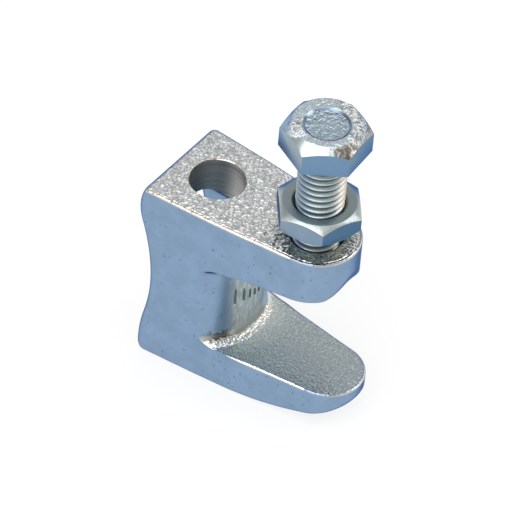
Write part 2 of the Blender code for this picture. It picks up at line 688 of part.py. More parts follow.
def make_lock_nut(parts, cutters, material):
    """The origin lies on the screw's axis, at the nut's lower face."""
    place = (SCREW_X, 0, BODY_HEIGHT + NUT_REST_GAP)
    bore = THREAD_DIAMETER / 2 + THREAD_CLEARANCE
    nut = make_hexagon("lock_nut", NUT_THICKNESS, NUT_TURN, parts, place)
    corner = HEX_ACROSS_FLATS / math.sqrt(3) + CUT_OVERRUN
    fall = (corner - NUT_CHAMFER_RADIUS) * math.tan(NUT_CHAMFER_ANGLE)
    envelope = make_turned("nut_chamfer_cutter", [
        (0.0, NUT_THICKNESS),
        (NUT_CHAMFER_RADIUS, NUT_THICKNESS),
        (corner, NUT_THICKNESS - fall),
        (corner, fall),
        (NUT_CHAMFER_RADIUS, 0.0),
        (0.0, 0.0),
    ], cutters, place)
    hole = make_turned("nut_bore_cutter", [
        (0.0, NUT_THICKNESS + CUT_OVERRUN),
        (NUT_COUNTERSINK_RADIUS, NUT_THICKNESS + CUT_OVERRUN),
        (NUT_COUNTERSINK_RADIUS, NUT_THICKNESS),
        (bore, NUT_THICKNESS - NUT_COUNTERSINK_DEPTH),
        (bore, NUT_COUNTERSINK_DEPTH),
        (NUT_COUNTERSINK_RADIUS, 0.0),
        (NUT_COUNTERSINK_RADIUS, -CUT_OVERRUN),
        (0.0, -CUT_OVERRUN),
    ], cutters, place)
    for cutter in (envelope, hole):
        hide_as_cutter(cutter)
    add_boolean(nut, envelope, "INTERSECT")
    add_boolean(nut, hole, "DIFFERENCE")
    nut.data.materials.append(material)
    smooth_with_edges(nut, math.radians(25))
    return nut


def main():
    clear_scene()
    parts = make_collection("beam_clamp")
    cutters = make_collection("cutters")
    make_body(parts, cutters, make_material("cast_zinc", (0.50, 0.55, 0.58), 0.45))
    make_set_screw(parts, cutters, make_material("screw_zinc", (0.62, 0.67, 0.70), 0.25))
    make_lock_nut(parts, cutters, make_material("nut_zinc", (0.56, 0.62, 0.64), 0.28))


main()
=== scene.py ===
import math
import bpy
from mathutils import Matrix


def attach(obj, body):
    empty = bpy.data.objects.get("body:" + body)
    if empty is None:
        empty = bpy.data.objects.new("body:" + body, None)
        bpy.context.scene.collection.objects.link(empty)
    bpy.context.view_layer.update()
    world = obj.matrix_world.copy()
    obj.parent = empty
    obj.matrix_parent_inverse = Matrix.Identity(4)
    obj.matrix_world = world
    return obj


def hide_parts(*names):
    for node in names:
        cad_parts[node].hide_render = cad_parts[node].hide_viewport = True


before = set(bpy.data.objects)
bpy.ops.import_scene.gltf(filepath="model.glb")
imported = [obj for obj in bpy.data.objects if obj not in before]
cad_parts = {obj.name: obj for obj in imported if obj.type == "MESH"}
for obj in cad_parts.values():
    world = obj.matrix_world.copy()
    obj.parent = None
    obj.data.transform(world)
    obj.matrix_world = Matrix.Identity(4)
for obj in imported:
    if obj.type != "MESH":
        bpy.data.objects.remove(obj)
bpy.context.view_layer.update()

from types import SimpleNamespace

import bmesh
import bpy
from mathutils import Matrix, Vector, noise

scene = bpy.context.scene
mm = 0.001


def mix(a, b, t):
    return a + (b - a) * t


def smoothStep(low, high, value):
    t = min(1.0, max(0.0, (value - low) / (high - low)))
    return t * t * (3 - 2 * t)


# Camera, placed to match the photographed view.
camera = {
    "place": (497.51, -765.23, 860.28),  # mm from the rod's axis at the arm's top
    "azimuth": 32.47,
    "elevation": 43.97,
    "roll": -5.16,
    "lens": 443.99,
    "right": (0.844, 0.537, 0),  # plan directions, as the camera sees them
    "away": (-0.537, 0.844, 0),
}


def placeCamera():
    print("camera")
    azimuth, elevation, roll = (math.radians(camera[k]) for k in ("azimuth", "elevation", "roll"))
    level = Vector((math.cos(azimuth), math.sin(azimuth), 0))
    ahead = Vector((-math.sin(azimuth) * math.cos(elevation), math.cos(azimuth) * math.cos(elevation),
                    -math.sin(elevation)))
    drop = ahead.cross(level)
    if drop.z > 0:
        drop.negate()
    right = level * math.cos(roll) + drop * math.sin(roll)
    down = drop * math.cos(roll) - level * math.sin(roll)
    data = bpy.data.cameras.new("camera")
    data.lens = camera["lens"]
    data.sensor_width = 36
    data.clip_end = 20
    thing = bpy.data.objects.new("camera", data)
    turn = Matrix((right, -down, -ahead)).transposed().to_4x4()
    place = Vector(camera["place"]) + Vector((rodX, 0, cast.height))
    thing.matrix_world = Matrix.Translation(place * mm) @ turn
    scene.collection.objects.link(thing)
    scene.camera = thing


# Helpers for shader trees. A value is a number, a colour or a socket, and a socket knows its own tree.
def setInputs(item, values):
    for name, value in values.items():
        if isinstance(value, bpy.types.NodeSocket):
            item.id_data.links.new(value, item.inputs[name])
        else:
            item.inputs[name].default_value = value


def addNode(tree, kind, inputs, **settings):
    item = tree.nodes.new(kind)
    for name, value in settings.items():
        setattr(item, name, value)
    setInputs(item, inputs)
    return item.outputs


def treeOf(values):
    return next(value.id_data for value in values if isinstance(value, bpy.types.NodeSocket))


def calc(operation, first, *others, clamp=False):
    # Works through the values from left to right.
    tree = treeOf((first, *others))
    for other in others or (0.0,):
        first = addNode(tree, "ShaderNodeMath", {0: first, 1: other}, operation=operation,
                        use_clamp=clamp)[0]
    return first


def times(*values):
    return calc("MULTIPLY", *values)


def plus(*values):
    return calc("ADD", *values)


def minus(a, b):
    return calc("SUBTRACT", a, b)


def squared(value):
    return calc("POWER", value, 2.0)


def ramp(value, fromLow, fromHigh, toLow=0.0, toHigh=1.0):
    inputs = {"Value": value, "From Min": fromLow, "From Max": fromHigh, "To Min": toLow, "To Max": toHigh}
    return addNode(value.id_data, "ShaderNodeMapRange", inputs, interpolation_type="SMOOTHSTEP")["Result"]


def fall(value, low, high):
    return ramp(value, low, high, 1.0, 0.0)


def between(value, start, full, fading, end):
    # 1 from full to fading, and 0 before the start and after the end.
    return times(ramp(value, start, full), fall(value, fading, end))


def blend(factor, a, b, kind="MIX"):
    ends = [value if isinstance(value, bpy.types.NodeSocket) else (*value, 1.0) for value in (a, b)]
    return addNode(treeOf((factor, a, b)), "ShaderNodeMix", {0: factor, 6: ends[0], 7: ends[1]},
                   data_type="RGBA", blend_type=kind)[2]


def vectorMath(operation, vector, other):
    return addNode(vector.id_data, "ShaderNodeVectorMath", {0: vector, 1: other}, operation=operation)


def along(vector, direction):
    # How far the vector reaches along the direction.
    return vectorMath("DOT_PRODUCT", vector, direction)["Value"]


def sized(tree, size):
    # Coordinates that run from 0 to 1 over size mm.
    spot = addNode(tree, "ShaderNodeTexCoord", {})["Object"]
    scale = addNode(tree, "ShaderNodeMath", {0: 1000.0, 1: size}, operation="DIVIDE")[0]
    return addNode(tree, "ShaderNodeVectorMath", {0: spot, "Scale": scale}, operation="SCALE")[0]


def spotParts(tree):
    # The spot's coordinates in mm.
    return addNode(tree, "ShaderNodeSeparateXYZ", {0: sized(tree, 1.0)})


def facingParts(tree):
    # The parts of the surface's normal.
    facing = addNode(tree, "ShaderNodeNewGeometry", {})["Normal"]
    return addNode(tree, "ShaderNodeSeparateXYZ", {0: facing})


def fromAxis(spot):
    # Distance in mm from the piece's own axis.
    return calc("SQRT", plus(squared(spot["X"]), squared(spot["Y"])))


def noiseAt(spot, scale, detail, roughness=0.5):
    return addNode(spot.id_data, "ShaderNodeTexNoise",
                   {"Vector": spot, "Scale": scale, "Detail": detail, "Roughness": roughness})


def warped(spot, scale, detail, amount):
    # The spot, moved about by noise.
    shift = noiseAt(spot, scale, detail)["Color"]
    return addNode(spot.id_data, "ShaderNodeVectorMath", {0: shift, 1: (amount, amount, amount), 2: spot},
                   operation="MULTIPLY_ADD")[0]


def newGroup(name, inputs, outputs):
    # Inputs and outputs are given as a kind for each name. Each material sets every input.
    group = bpy.data.node_groups.new(name, "ShaderNodeTree")
    for side, sockets in (("INPUT", inputs), ("OUTPUT", outputs)):
        for label, kind in sockets.items():
            group.interface.new_socket(label, in_out=side, socket_type="NodeSocket" + kind)
    return group, addNode(group, "NodeGroupInput", {}), group.nodes.new("NodeGroupOutput")


def place(tree, group, **inputs):
    item = tree.nodes.new("ShaderNodeGroup")
    item.node_tree = groups[group]
    setInputs(item, {name.replace("_", " "): value for name, value in inputs.items()})
    return item.outputs


def makeGrainGroup():
    # Hammered skin of a casting: rounded dimples with a finer tooth on them. Sizes are in mm.
    group, given, result = newGroup("hammeredGrain", {"Grain size": "Float", "Tooth": "Float"},
                                    {"Height": "Float", "Lines": "Float"})
    spot = sized(group, given["Grain size"])
    moved = warped(spot, 0.9, 2.0, 1.4)
    cells = addNode(group, "ShaderNodeTexVoronoi", {"Vector": moved, "Scale": 1.0, "Smoothness": 0.25},
                    feature="SMOOTH_F1")["Distance"]
    tooth = times(noiseAt(spot, 2.6, 1.5)["Fac"], given["Tooth"])
    border = addNode(group, "ShaderNodeTexVoronoi", {"Vector": moved, "Scale": 1.0},
                     feature="DISTANCE_TO_EDGE")["Distance"]
    setInputs(result, {"Height": plus(cells, tooth), "Lines": fall(border, 0.02, 0.16)})
    return group


def makePitGroup():
    # Scattered small pits. Few says what share of the cells stay bare.
    group, given, result = newGroup("castingPits", {"Spacing": "Float", "Few": "Float"}, {"Mask": "Float"})
    moved = warped(sized(group, given["Spacing"]), 2.5, 1.0, 0.35)
    cells = addNode(group, "ShaderNodeTexVoronoi", {"Vector": moved, "Scale": 1.0})
    near = fall(cells["Distance"], 0.10, 0.26)
    chance = addNode(group, "ShaderNodeSeparateColor", {0: cells["Color"]})[0]
    kept = ramp(minus(chance, given["Few"]), 0.0, 0.25)
    setInputs(result, {"Mask": times(near, kept)})
    return group


def makeToneGroup():
    # Zinc with light painted by facing: silver up, sheen on slopes, blue reflection on walls, shade below,
    # slow clouds.
    inputs = {"Silver": "Color", "Slope": "Color", "Blue": "Color", "Below": "Color", "Clouds": "Float",
              "Cloud size": "Float"}
    group, given, result = newGroup("zincTone", inputs, {"Colour": "Color", "Wall": "Float"})
    lift = facingParts(group)["Z"]
    wall = fall(lift, 0.22, 0.55)
    tone = blend(ramp(lift, 0.55, 0.92), given["Slope"], given["Silver"])
    tone = blend(wall, tone, given["Blue"])
    tone = blend(fall(lift, -0.6, -0.25), tone, given["Below"])
    cloud = noiseAt(sized(group, given["Cloud size"]), 1.0, 6.0, 0.6)["Fac"]
    level = plus(1.0, times(minus(cloud, 0.5), given["Clouds"], 2.0))
    shade = addNode(group, "ShaderNodeCombineXYZ", {0: level, 1: level, 2: level})[0]
    setInputs(result, {"Colour": blend(1.0, tone, shade, "MULTIPLY"), "Wall": wall})
    return group


def makeNearGroup():
    # How near a spot is to a given point: 1 at the point and 0 from the radius on, ragged in between.
    group, given, result = newGroup("nearPoint", {"Point": "Vector", "Radius": "Float", "Ragged": "Float"},
                                    {"Mask": "Float"})
    spot = sized(group, 1.0)
    share = calc("DIVIDE", vectorMath("DISTANCE", spot, given["Point"])["Value"], given["Radius"])
    swing = times(minus(noiseAt(spot, 1.6, 3.0)["Fac"], 0.5), given["Ragged"])
    setInputs(result, {"Mask": fall(plus(share, swing), 0.45, 1.0)})
    return group


def makeEdgeGroup():
    # Painted shade: faces seen at a shallow angle, and edges that lean away from the viewer, turn to the
    # edge colour.
    group, given, result = newGroup("edgeShade", {"Colour": "Color", "Edge": "Color", "Shallow": "Float"},
                                    {"Colour": "Color"})
    facing = addNode(group, "ShaderNodeNewGeometry", {})["Normal"]
    away = ramp(along(facing, camera["away"]), 0.03, 0.32)
    lean = times(away, ramp(facingParts(group)["Z"], 0.28, 0.48))
    share = calc("MAXIMUM", ramp(given["Shallow"], 0.52, 0.85), lean)
    setInputs(result, {"Colour": blend(share, given["Colour"], given["Edge"])})
    return group


def makeSideGroup():
    # Painted light on the sides of a hexagon: lighter to the left and darker to the right.
    inputs = {"Colour": "Color", "Wall": "Float", "Left": "Color", "Right": "Color"}
    group, given, result = newGroup("sideTone", inputs, {"Colour": "Color"})
    facingX = facingParts(group)["X"]
    left = times(given["Wall"], fall(facingX, -0.3, 0.3))
    right = times(given["Wall"], ramp(facingX, 0.65, 0.92))
    colour = blend(left, given["Colour"], given["Left"])
    setInputs(result, {"Colour": blend(right, colour, given["Right"])})
    return group


print("shader groups")
groups = {"grain": makeGrainGroup(), "pits": makePitGroup(), "tone": makeToneGroup(),
          "near": makeNearGroup(), "edge": makeEdgeGroup(), "sides": makeSideGroup()}


def newMaterial(name):
    material = bpy.data.materials.new(name)
    material.use_nodes = True
    tree = material.node_tree
    shader = tree.nodes["Principled BSDF"]
    setInputs(shader, {"Metallic": 1.0, "Specular Tint": (0.42, 0.52, 0.72, 1)})
    return material, tree, shader


# The zinc tone, with light painted in by the way each face points.
def zincTone(tree, finish):
    return place(tree, "tone", Silver=finish["silver"], Slope=finish["slope"], Blue=finish["blue"],
                 Below=finish["below"], Clouds=finish["clouds"], Cloud_size=finish["cloudSize"])


def darkenEdges(tree, colour, edge):
    shallow = addNode(tree, "ShaderNodeLayerWeight", {"Blend": 0.5})["Facing"]
    return place(tree, "edge", Colour=colour, Edge=edge, Shallow=shallow)["Colour"]


def coat(shader, colour, roughness, height, depth=1.0):
    # The depth says how many mm a height of 1 stands for.
    bump = addNode(shader.id_data, "ShaderNodeBump",
                   {"Height": height, "Strength": 1.0, "Distance": depth * mm})
    setInputs(shader, {"Base Color": colour, "Roughness": roughness, "Normal": bump[0]})


# The casting, in mm. Lengths along x are from the axis of the hanging rod, heights from the heel.
casting = {
    "rodToScrew": 24.2, "rodToTip": 29.65, "halfWidth": 11.15, "sideBow": 0.3, "armEnd": 9.25,
    "tipRadius": 7.95,
    "draft": 0.0025, "rearCorner": 1.3, "height": 43.7, "armRoot": 12.3, "armAtScrew": 11.0,
    "jawTop": 9.6, "tipThickness": 3.9, "heelFront": 12.0, "rearReach": 10.7, "bulgeDepth": 4.7,
    "bulgeRadius": 10.0, "waistReach": 7.15, "waistHeight": 19.2, "footReach": 9.0, "footHeight": 3.5,
    "rearUpper": 43.0, "rearLower": 38.0, "topEdge": 0.6, "underEdge": 0.5, "armNose": 5.1,
    "noseRest": 0.6, "noseEdgeStart": 0.45, "noseEdgeFull": 1.0, "jawEdge": 0.6, "baseEdge": 1.0,
    "baseNose": 1.7, "heelEdge": 3.0, "armFillet": 3.3, "jawFillet": 2.8, "creaseRest": 0.2, "webSide": 3.2,
    "webFront": 10.1, "armCrease": 7.3, "jawCrease": 6.0, "channelHalf": 6.3, "ceilingDepth": 7.85,
    "ceilingFillet": 3.8, "lipRadius": 2.5, "lipAngle": 60.0, "rodHole": 11.5, "rodChamfer": 0.15,
    "screwHole": 10.5, "screwChamfer": 0.4, "flatInset": 6.4, "edgeGrowth": 9.5, "foldGrowth": 5,
    # Numbers of steps, and the depth of the waves.
    "corner": 7, "side": 9, "straight": 18, "nose": 26, "edge": 6, "fillet": 10, "web": 14, "arm": 9,
    "armSide": 8, "jawSide": 8, "channel": 40, "round": 128, "waviness": 0.05,
}
cast = SimpleNamespace(**casting)
frontSteps = cast.straight + cast.nose
rodX = (cast.rearReach - cast.rodToTip - cast.tipRadius) / 2
screwX = rodX + cast.rodToScrew


def sideSlope(centreX, radius, halfWidth):
    reach = math.hypot(centreX, halfWidth)
    return math.tan(math.atan2(halfWidth, centreX) - math.asin(radius / reach))


def wallAt(z):
    half = cast.halfWidth - cast.draft * (cast.height - z)
    share = min(1.0, max(0.0, (z - cast.jawTop) / (cast.height - cast.armRoot - cast.jawTop)))
    return (half, mix(sideSlope(cast.rodToTip, cast.tipRadius, half),
                      sideSlope(cast.rodToScrew, cast.armEnd, half), share),
            mix(cast.rodToTip, cast.rodToScrew, share))


def widthAt(x, wall):
    half, slope, bowEnd = wall
    share = min(1.0, max(0.0, (x + cast.rearReach) / (bowEnd + cast.rearReach)))
    return half - slope * x + cast.sideBow * 16 * (share * (1 - share))**2


def hollowToBulge(distance, radius, crest, swell):
    # A hollow that runs on into a bulge, swell higher, whose crest is at the distance crest.
    hollow = 1 / (2 * radius)
    bulge = swell * hollow / (crest**2 * hollow - swell)
    if distance < crest * bulge / (hollow + bulge):
        return hollow * distance**2
    return swell - bulge * (distance - crest)**2


def rearReach(z):
    rise = z - cast.waistHeight
    crest = cast.height - cast.bulgeDepth - cast.waistHeight
    if rise > crest:
        return cast.rearReach - (rise - crest)**2 / (2 * cast.bulgeRadius)
    if rise > 0:
        return cast.waistReach + hollowToBulge(rise, cast.rearUpper, crest, cast.rearReach - cast.waistReach)
    return cast.waistReach + hollowToBulge(-rise, cast.rearLower, cast.waistHeight - cast.footHeight,
                                           cast.footReach - cast.waistReach)


def armUnder(x):
    slope = (cast.armRoot - cast.armAtScrew) / (cast.rodToScrew - cast.webFront)
    return cast.height - cast.armRoot + slope * (x - cast.webFront)


def baseUnder(x):
    rise = cast.jawTop - cast.tipThickness
    run = cast.rodToTip + cast.tipRadius - cast.heelFront
    radius = (run**2 + rise**2) / (2 * rise)
    return radius - math.sqrt(radius**2 - max(0.0, x - cast.heelFront)**2)


def rearAndSide(z, sideEnd, wall, backPull=0.0, sidePull=0.0):
    back = -rearReach(z) + backPull
    cornerX = back + cast.rearCorner
    cornerY = widthAt(cornerX, wall) - cast.rearCorner - sidePull
    points = []
    for i in range(cast.corner + 1):
        turn = math.pi / 2 * i / cast.corner
        points.append((cornerX - cast.rearCorner * math.cos(turn),
                       -cornerY - cast.rearCorner * math.sin(turn)))
    for i in range(1, cast.side + 1):
        x = mix(cornerX, sideEnd, i / cast.side)
        points.append((x, -widthAt(x, wall) + sidePull))
    return points


def limbFront(sideEnd, wall, centreX, radius, inset):
    lean = math.atan(wall[1])
    meetX = centreX + radius * math.sin(lean)
    points = []
    for i in range(1, cast.straight + 1):
        x = mix(sideEnd, meetX, i / cast.straight)
        pull = inset(i / frontSteps)
        points.append((x - pull * math.sin(lean), -widthAt(x, wall) + pull * math.cos(lean)))
    for i in range(1, cast.nose + 1):
        turn = mix(math.pi / 2 - lean, 0.0, i / cast.nose)
        at = radius - inset((cast.straight + i) / frontSteps)
        points.append((centreX + at * math.cos(turn), -at * math.sin(turn)))
    return points


def webFront(sideEnd, front, wall):
    half = widthAt(sideEnd, wall)
    points = []
    for i in range(1, frontSteps + 1):
        turn = math.pi / 2 * (1 - i / frontSteps)
        points.append((mix(sideEnd, front, math.cos(turn)), -half * math.sin(turn)))
    return points


def edgeArc(step):
    turn = math.pi / 2 * step / cast.edge
    return 1 - math.cos(turn), 1 - math.sin(turn)


def edgeRadius(side, nose, t):
    pastStraight = (t * frontSteps - cast.straight) / cast.nose
    share = smoothStep(cast.noseEdgeStart, cast.noseEdgeFull, pastStraight)
    return mix(side * min(1.0, t * cast.edgeGrowth), nose, share)


def flatFront(sideEnd, wall, centreX, radius):
    return limbFront(sideEnd, wall, centreX, radius, lambda t: min(cast.flatInset, cast.edgeGrowth * t))


def raised(points, z):
    return [(x, y, z) for x, y in points]


def armOutline(z, pull):
    wall = wallAt(z)
    sideEnd = cast.webSide + cast.armCrease + cast.armFillet
    points = rearAndSide(z, sideEnd, wall)
    points += limbFront(sideEnd, wall, cast.rodToScrew, cast.armEnd, lambda t: 0.0)
    if not pull:
        return raised(points, z)
    flipped = [(x, -y) for x, y in points]
    chain = [flipped[0]] + points + [flipped[-2]]
    moved = []
    for before, (x, y), after in zip(chain, points, chain[2:]):
        run, rise = after[0] - before[0], after[1] - before[1]
        length = math.hypot(run, rise)
        moved.append((x - rise / length * pull, y + run / length * pull, z))
    return moved


def loopsBetween(upper, lower, levels):
    # Loops that lead evenly from one to another, with the back edge on the rear's curve.
    loops = []
    for level in range(1, levels):
        loop = [tuple(mix(a, b, level / levels) for a, b in zip(above, below))
                for above, below in zip(upper, lower)]
        shift = -rearReach(loop[0][2]) - loop[0][0]
        loops.append([(x + shift, y, z) for x, y, z in loop[:cast.corner + 1]] + loop[cast.corner + 1:])
    return loops


def armEdgeLoop(step):
    pull, drop = edgeArc(step)
    share = step / cast.edge
    crease = cast.webSide + cast.armCrease
    z = mix(cast.height - cast.armRoot + cast.underEdge, armUnder(crease), share)
    sideEnd = crease + cast.armFillet * mix(1.0, cast.creaseRest, share)
    wall = wallAt(z)

    def radiusAt(t):
        return edgeRadius(cast.underEdge, cast.armNose, t)

    front = limbFront(sideEnd, wall, cast.rodToScrew, cast.armEnd, lambda t: radiusAt(t) * pull)
    lifts = [radiusAt(i / frontSteps) * drop for i in range(1, frontSteps + 1)]
    return (raised(rearAndSide(z, sideEnd, wall), z)
            + [(x, y, armUnder(x) + lift) for (x, y), lift in zip(front, lifts)])


def armLoops():
    loops = []
    for step in range(cast.edge, -1, -1):
        pull, drop = edgeArc(step)
        loops.append(armOutline(cast.height - cast.topEdge * drop, cast.topEdge * pull))
    lowest = armUnder(cast.rodToScrew + cast.armEnd) + cast.armNose + cast.noseRest
    for level in range(1, cast.arm + 1):
        loops.append(armOutline(mix(cast.height - cast.topEdge, lowest, level / cast.arm), 0.0))
    loops += loopsBetween(loops[-1], armEdgeLoop(0), cast.armSide)
    loops += [armEdgeLoop(step) for step in range(cast.edge + 1)]
    crease = cast.webSide + cast.armCrease
    z = armUnder(crease) - cast.underEdge * cast.creaseRest / 2
    sideEnd = crease + cast.armFillet * cast.creaseRest
    wall = wallAt(z)
    flat = flatFront(sideEnd, wall, cast.rodToScrew, cast.armEnd)
    loops.append(raised(rearAndSide(z, sideEnd, wall), z) + [(x, y, armUnder(x)) for x, y in flat])
    for step in range(cast.fillet, -1, -1):
        turn = math.pi / 2 * step / cast.fillet
        out, down = 1 - math.cos(turn), cast.armFillet * (1 - math.sin(turn))
        sideEnd = cast.webSide + cast.armCrease * out
        z = armUnder(sideEnd) - down - cast.underEdge * cast.creaseRest
        wall = wallAt(z)
        front = webFront(sideEnd, cast.webFront + cast.armFillet * out, wall)
        loops.append(raised(rearAndSide(z, sideEnd, wall), z)
                     + [(x, y, mix(z, armUnder(x) - down, min(1.0, cast.foldGrowth * i / frontSteps)))
                        for i, (x, y) in enumerate(front, 1)])
    return loops


def webLoops(top, bottom):
    loops = []
    for level in range(1, cast.web):
        z = mix(top, bottom, level / cast.web)
        wall = wallAt(z)
        front = webFront(cast.webSide, cast.webFront, wall)
        loops.append(raised(rearAndSide(z, cast.webSide, wall) + front, z))
    return loops


def baseLoop(step):
    pull, drop = edgeArc(step)
    sideEnd = cast.webSide + cast.jawCrease + cast.jawFillet
    wall = wallAt(0.0)

    def radiusAt(t):
        share = smoothStep(0, 1, (t * frontSteps - cast.straight) / cast.nose)
        return mix(cast.baseEdge, cast.baseNose, share)

    rear = rearAndSide(cast.heelEdge, sideEnd, wall, cast.heelEdge * pull, cast.baseEdge * pull)
    front = limbFront(sideEnd, wall, cast.rodToTip, cast.tipRadius, lambda t: radiusAt(t) * pull)
    radii = [mix(cast.heelEdge, cast.baseEdge, min(1.0, i / cast.corner)) for i in range(len(rear))]
    radii += [radiusAt(i / frontSteps) for i in range(1, frontSteps + 1)]
    return [(x, y, baseUnder(x) + radius * drop) for (x, y), radius in zip(rear + front, radii)]


def jawLoops():
    loops = []
    for step in range(cast.fillet + 1):
        turn = math.pi / 2 * step / cast.fillet
        out, up = 1 - math.cos(turn), cast.jawFillet * (1 - math.sin(turn))
        sideEnd = cast.webSide + cast.jawCrease * out
        z = cast.jawTop + up
        wall = wallAt(z)
        front = webFront(sideEnd, cast.webFront + cast.jawFillet * out, wall)
        loops.append(raised(rearAndSide(z, sideEnd, wall) + front, z))
    sideEnd += cast.jawFillet * cast.creaseRest
    z -= cast.jawEdge * cast.creaseRest / 2
    flat = flatFront(sideEnd, wall, cast.rodToTip, cast.tipRadius)
    loops.append(raised(rearAndSide(z, sideEnd, wall), z) + raised(flat, cast.jawTop))
    for step in range(cast.edge, -1, -1):
        pull, drop = edgeArc(step)
        share = 1 - step / cast.edge
        z = cast.jawTop - cast.jawEdge * (cast.creaseRest + share)
        sideEnd = cast.webSide + cast.jawCrease + cast.jawFillet * mix(cast.creaseRest, 1.0, share)
        wall = wallAt(cast.jawTop)
        radii = [edgeRadius(cast.jawEdge, cast.jawEdge, i / frontSteps) for i in range(frontSteps + 1)]
        front = limbFront(sideEnd, wall, cast.rodToTip, cast.tipRadius,
                          lambda t: radii[round(t * frontSteps)] * pull)
        loops.append(raised(rearAndSide(z, sideEnd, wall), z)
                     + [(x, y, cast.jawTop - radius * drop) for (x, y), radius in zip(front, radii[1:])])
    loops += loopsBetween(loops[-1], baseLoop(0), cast.jawSide)
    return loops + [baseLoop(step) for step in range(cast.edge + 1)]


def bridge(bm, rings):
    # Faces between each ring and the next.
    count = len(rings[0])
    for above, below in zip(rings, rings[1:]):
        for i in range(count):
            j = (i + 1) % count
            bm.faces.new((above[i], below[i], below[j], above[j]))


def skinCasting():
    upper, lower = armLoops(), jawLoops()
    loops = upper + webLoops(upper[-1][-1][2], lower[0][-1][2]) + lower
    bm = bmesh.new()
    rings = []
    for half in loops:
        full = half + [(x, -y, z) for x, y, z in reversed(half[:-1])]
        rings.append([bm.verts.new(((x + rodX) * mm, y * mm, z * mm)) for x, y, z in full])
    bridge(bm, rings)
    bm.faces.new(rings[0])
    last, tip = rings[-1], len(loops[-1]) - 1
    for i in range(tip - 1):
        bm.faces.new((last[i], last[-i - 1], last[-i - 2], last[i + 1]))
    bm.faces.new((last[tip - 1], last[tip + 1], last[tip]))
    bmesh.ops.recalc_face_normals(bm, faces=bm.faces)
    # Slow waves in the walls, always inwards and never across the flat faces.
    bm.normal_update()
    shifts = []
    for vert in bm.verts:
        spot = vert.co / mm
        wave = noise.noise(spot * 0.22) * 0.8 + noise.noise(spot * 0.6) * 0.2
        inwards = Vector((vert.normal.x, vert.normal.y, 0))
        shifts.append((vert, inwards * (cast.waviness * (wave - 0.75)) * mm))
    for vert, shift in shifts:
        vert.co += shift
    return bm


def toObject(bm, name, place=(0, 0, 0)):
    mesh = bpy.data.meshes.new(name)
    bm.to_mesh(mesh)
    bm.free()
    thing = bpy.data.objects.new(name, mesh)
    thing.location = place
    scene.collection.objects.link(thing)
    return thing


def turned(name, profile, place, steps):
    # A turned shape from (radius, height) points in mm, from the axis at the top, down the outer side.
    bm = bmesh.new()
    chain = [bm.verts.new((radius * mm, 0, height * mm)) for radius, height in profile]
    edges = [bm.edges.new(pair) for pair in zip(chain, chain[1:])]
    bmesh.ops.spin(bm, geom=chain + edges, cent=(0, 0, 0), axis=(0, 0, 1), angle=math.tau, steps=steps)
    bmesh.ops.remove_doubles(bm, verts=bm.verts, dist=0.002 * mm)
    bmesh.ops.recalc_face_normals(bm, faces=bm.faces)
    return toObject(bm, name, Vector(place) * mm)


def cut(thing, other, operation="DIFFERENCE"):
    modifier = thing.modifiers.new("cut", "BOOLEAN")
    modifier.object = other
    modifier.operation = operation
    modifier.solver = "EXACT"


def settle(thing, tools, sharpness):
    # Apply the modifiers, take the tools away and shade the mesh smooth up to the sharp edges.
    mesh = bpy.data.meshes.new_from_object(thing.evaluated_get(bpy.context.evaluated_depsgraph_get()))
    thing.modifiers.clear()
    thing.data = mesh
    for tool in tools:
        bpy.data.objects.remove(tool, do_unlink=True)
    mesh.shade_smooth()
    mesh.set_sharp_from_angle(angle=math.radians(sharpness))


def channelTool():
    def section(z, shrink):
        half = cast.channelHalf - shrink
        lipX = -rearReach(z) + cast.lipRadius
        points = []
        for i in range(cast.nose + 1):
            turn = math.pi / 2 * i / cast.nose
            points.append((half * math.cos(turn), -half * math.sin(turn)))
        for i in range(cast.edge + 1):
            turn = math.radians(cast.lipAngle) * i / cast.edge
            points.append((lipX - cast.lipRadius * math.sin(turn),
                           -half - cast.lipRadius * (1 - math.cos(turn))))
        beyond = points[-1][0] + cast.rearReach + 2
        points.append((-cast.rearReach - 2, points[-1][1] - beyond * math.tan(math.radians(cast.lipAngle))))
        return points

    straightTop = cast.height - cast.ceilingDepth - cast.ceilingFillet
    stations = [(mix(-2.0, straightTop, i / cast.channel), 0.0) for i in range(cast.channel + 1)]
    for step in range(1, cast.edge + 1):
        turn = math.pi / 2 * step / cast.edge
        stations.append((straightTop + cast.ceilingFillet * math.sin(turn),
                         cast.ceilingFillet * (1 - math.cos(turn))))
    bm = bmesh.new()
    rings = []
    for z, shrink in stations:
        half = section(z, shrink)
        full = half + [(x, -y) for x, y in reversed(half[1:])]
        rings.append([bm.verts.new(((x + rodX) * mm, y * mm, z * mm)) for x, y in full])
    bridge(bm, rings)
    bm.faces.new(rings[0])
    bm.faces.new(rings[-1])
    bmesh.ops.recalc_face_normals(bm, faces=bm.faces)
    return toObject(bm, "channelTool")


def holeTool(name, radius, top, bottom, chamfer, x, lowerChamfer):
    wide, low = radius + chamfer, radius + lowerChamfer
    profile = [(0, top + 2), (wide, top + 2), (wide, top), (radius, top - chamfer),
               (radius, bottom + lowerChamfer)]
    if lowerChamfer:
        profile += [(low, bottom), (low, bottom - 2), (0, bottom - 2)]
    else:
        profile.append((0, bottom))
    return turned(name, profile, (x, 0, 0), cast.round)


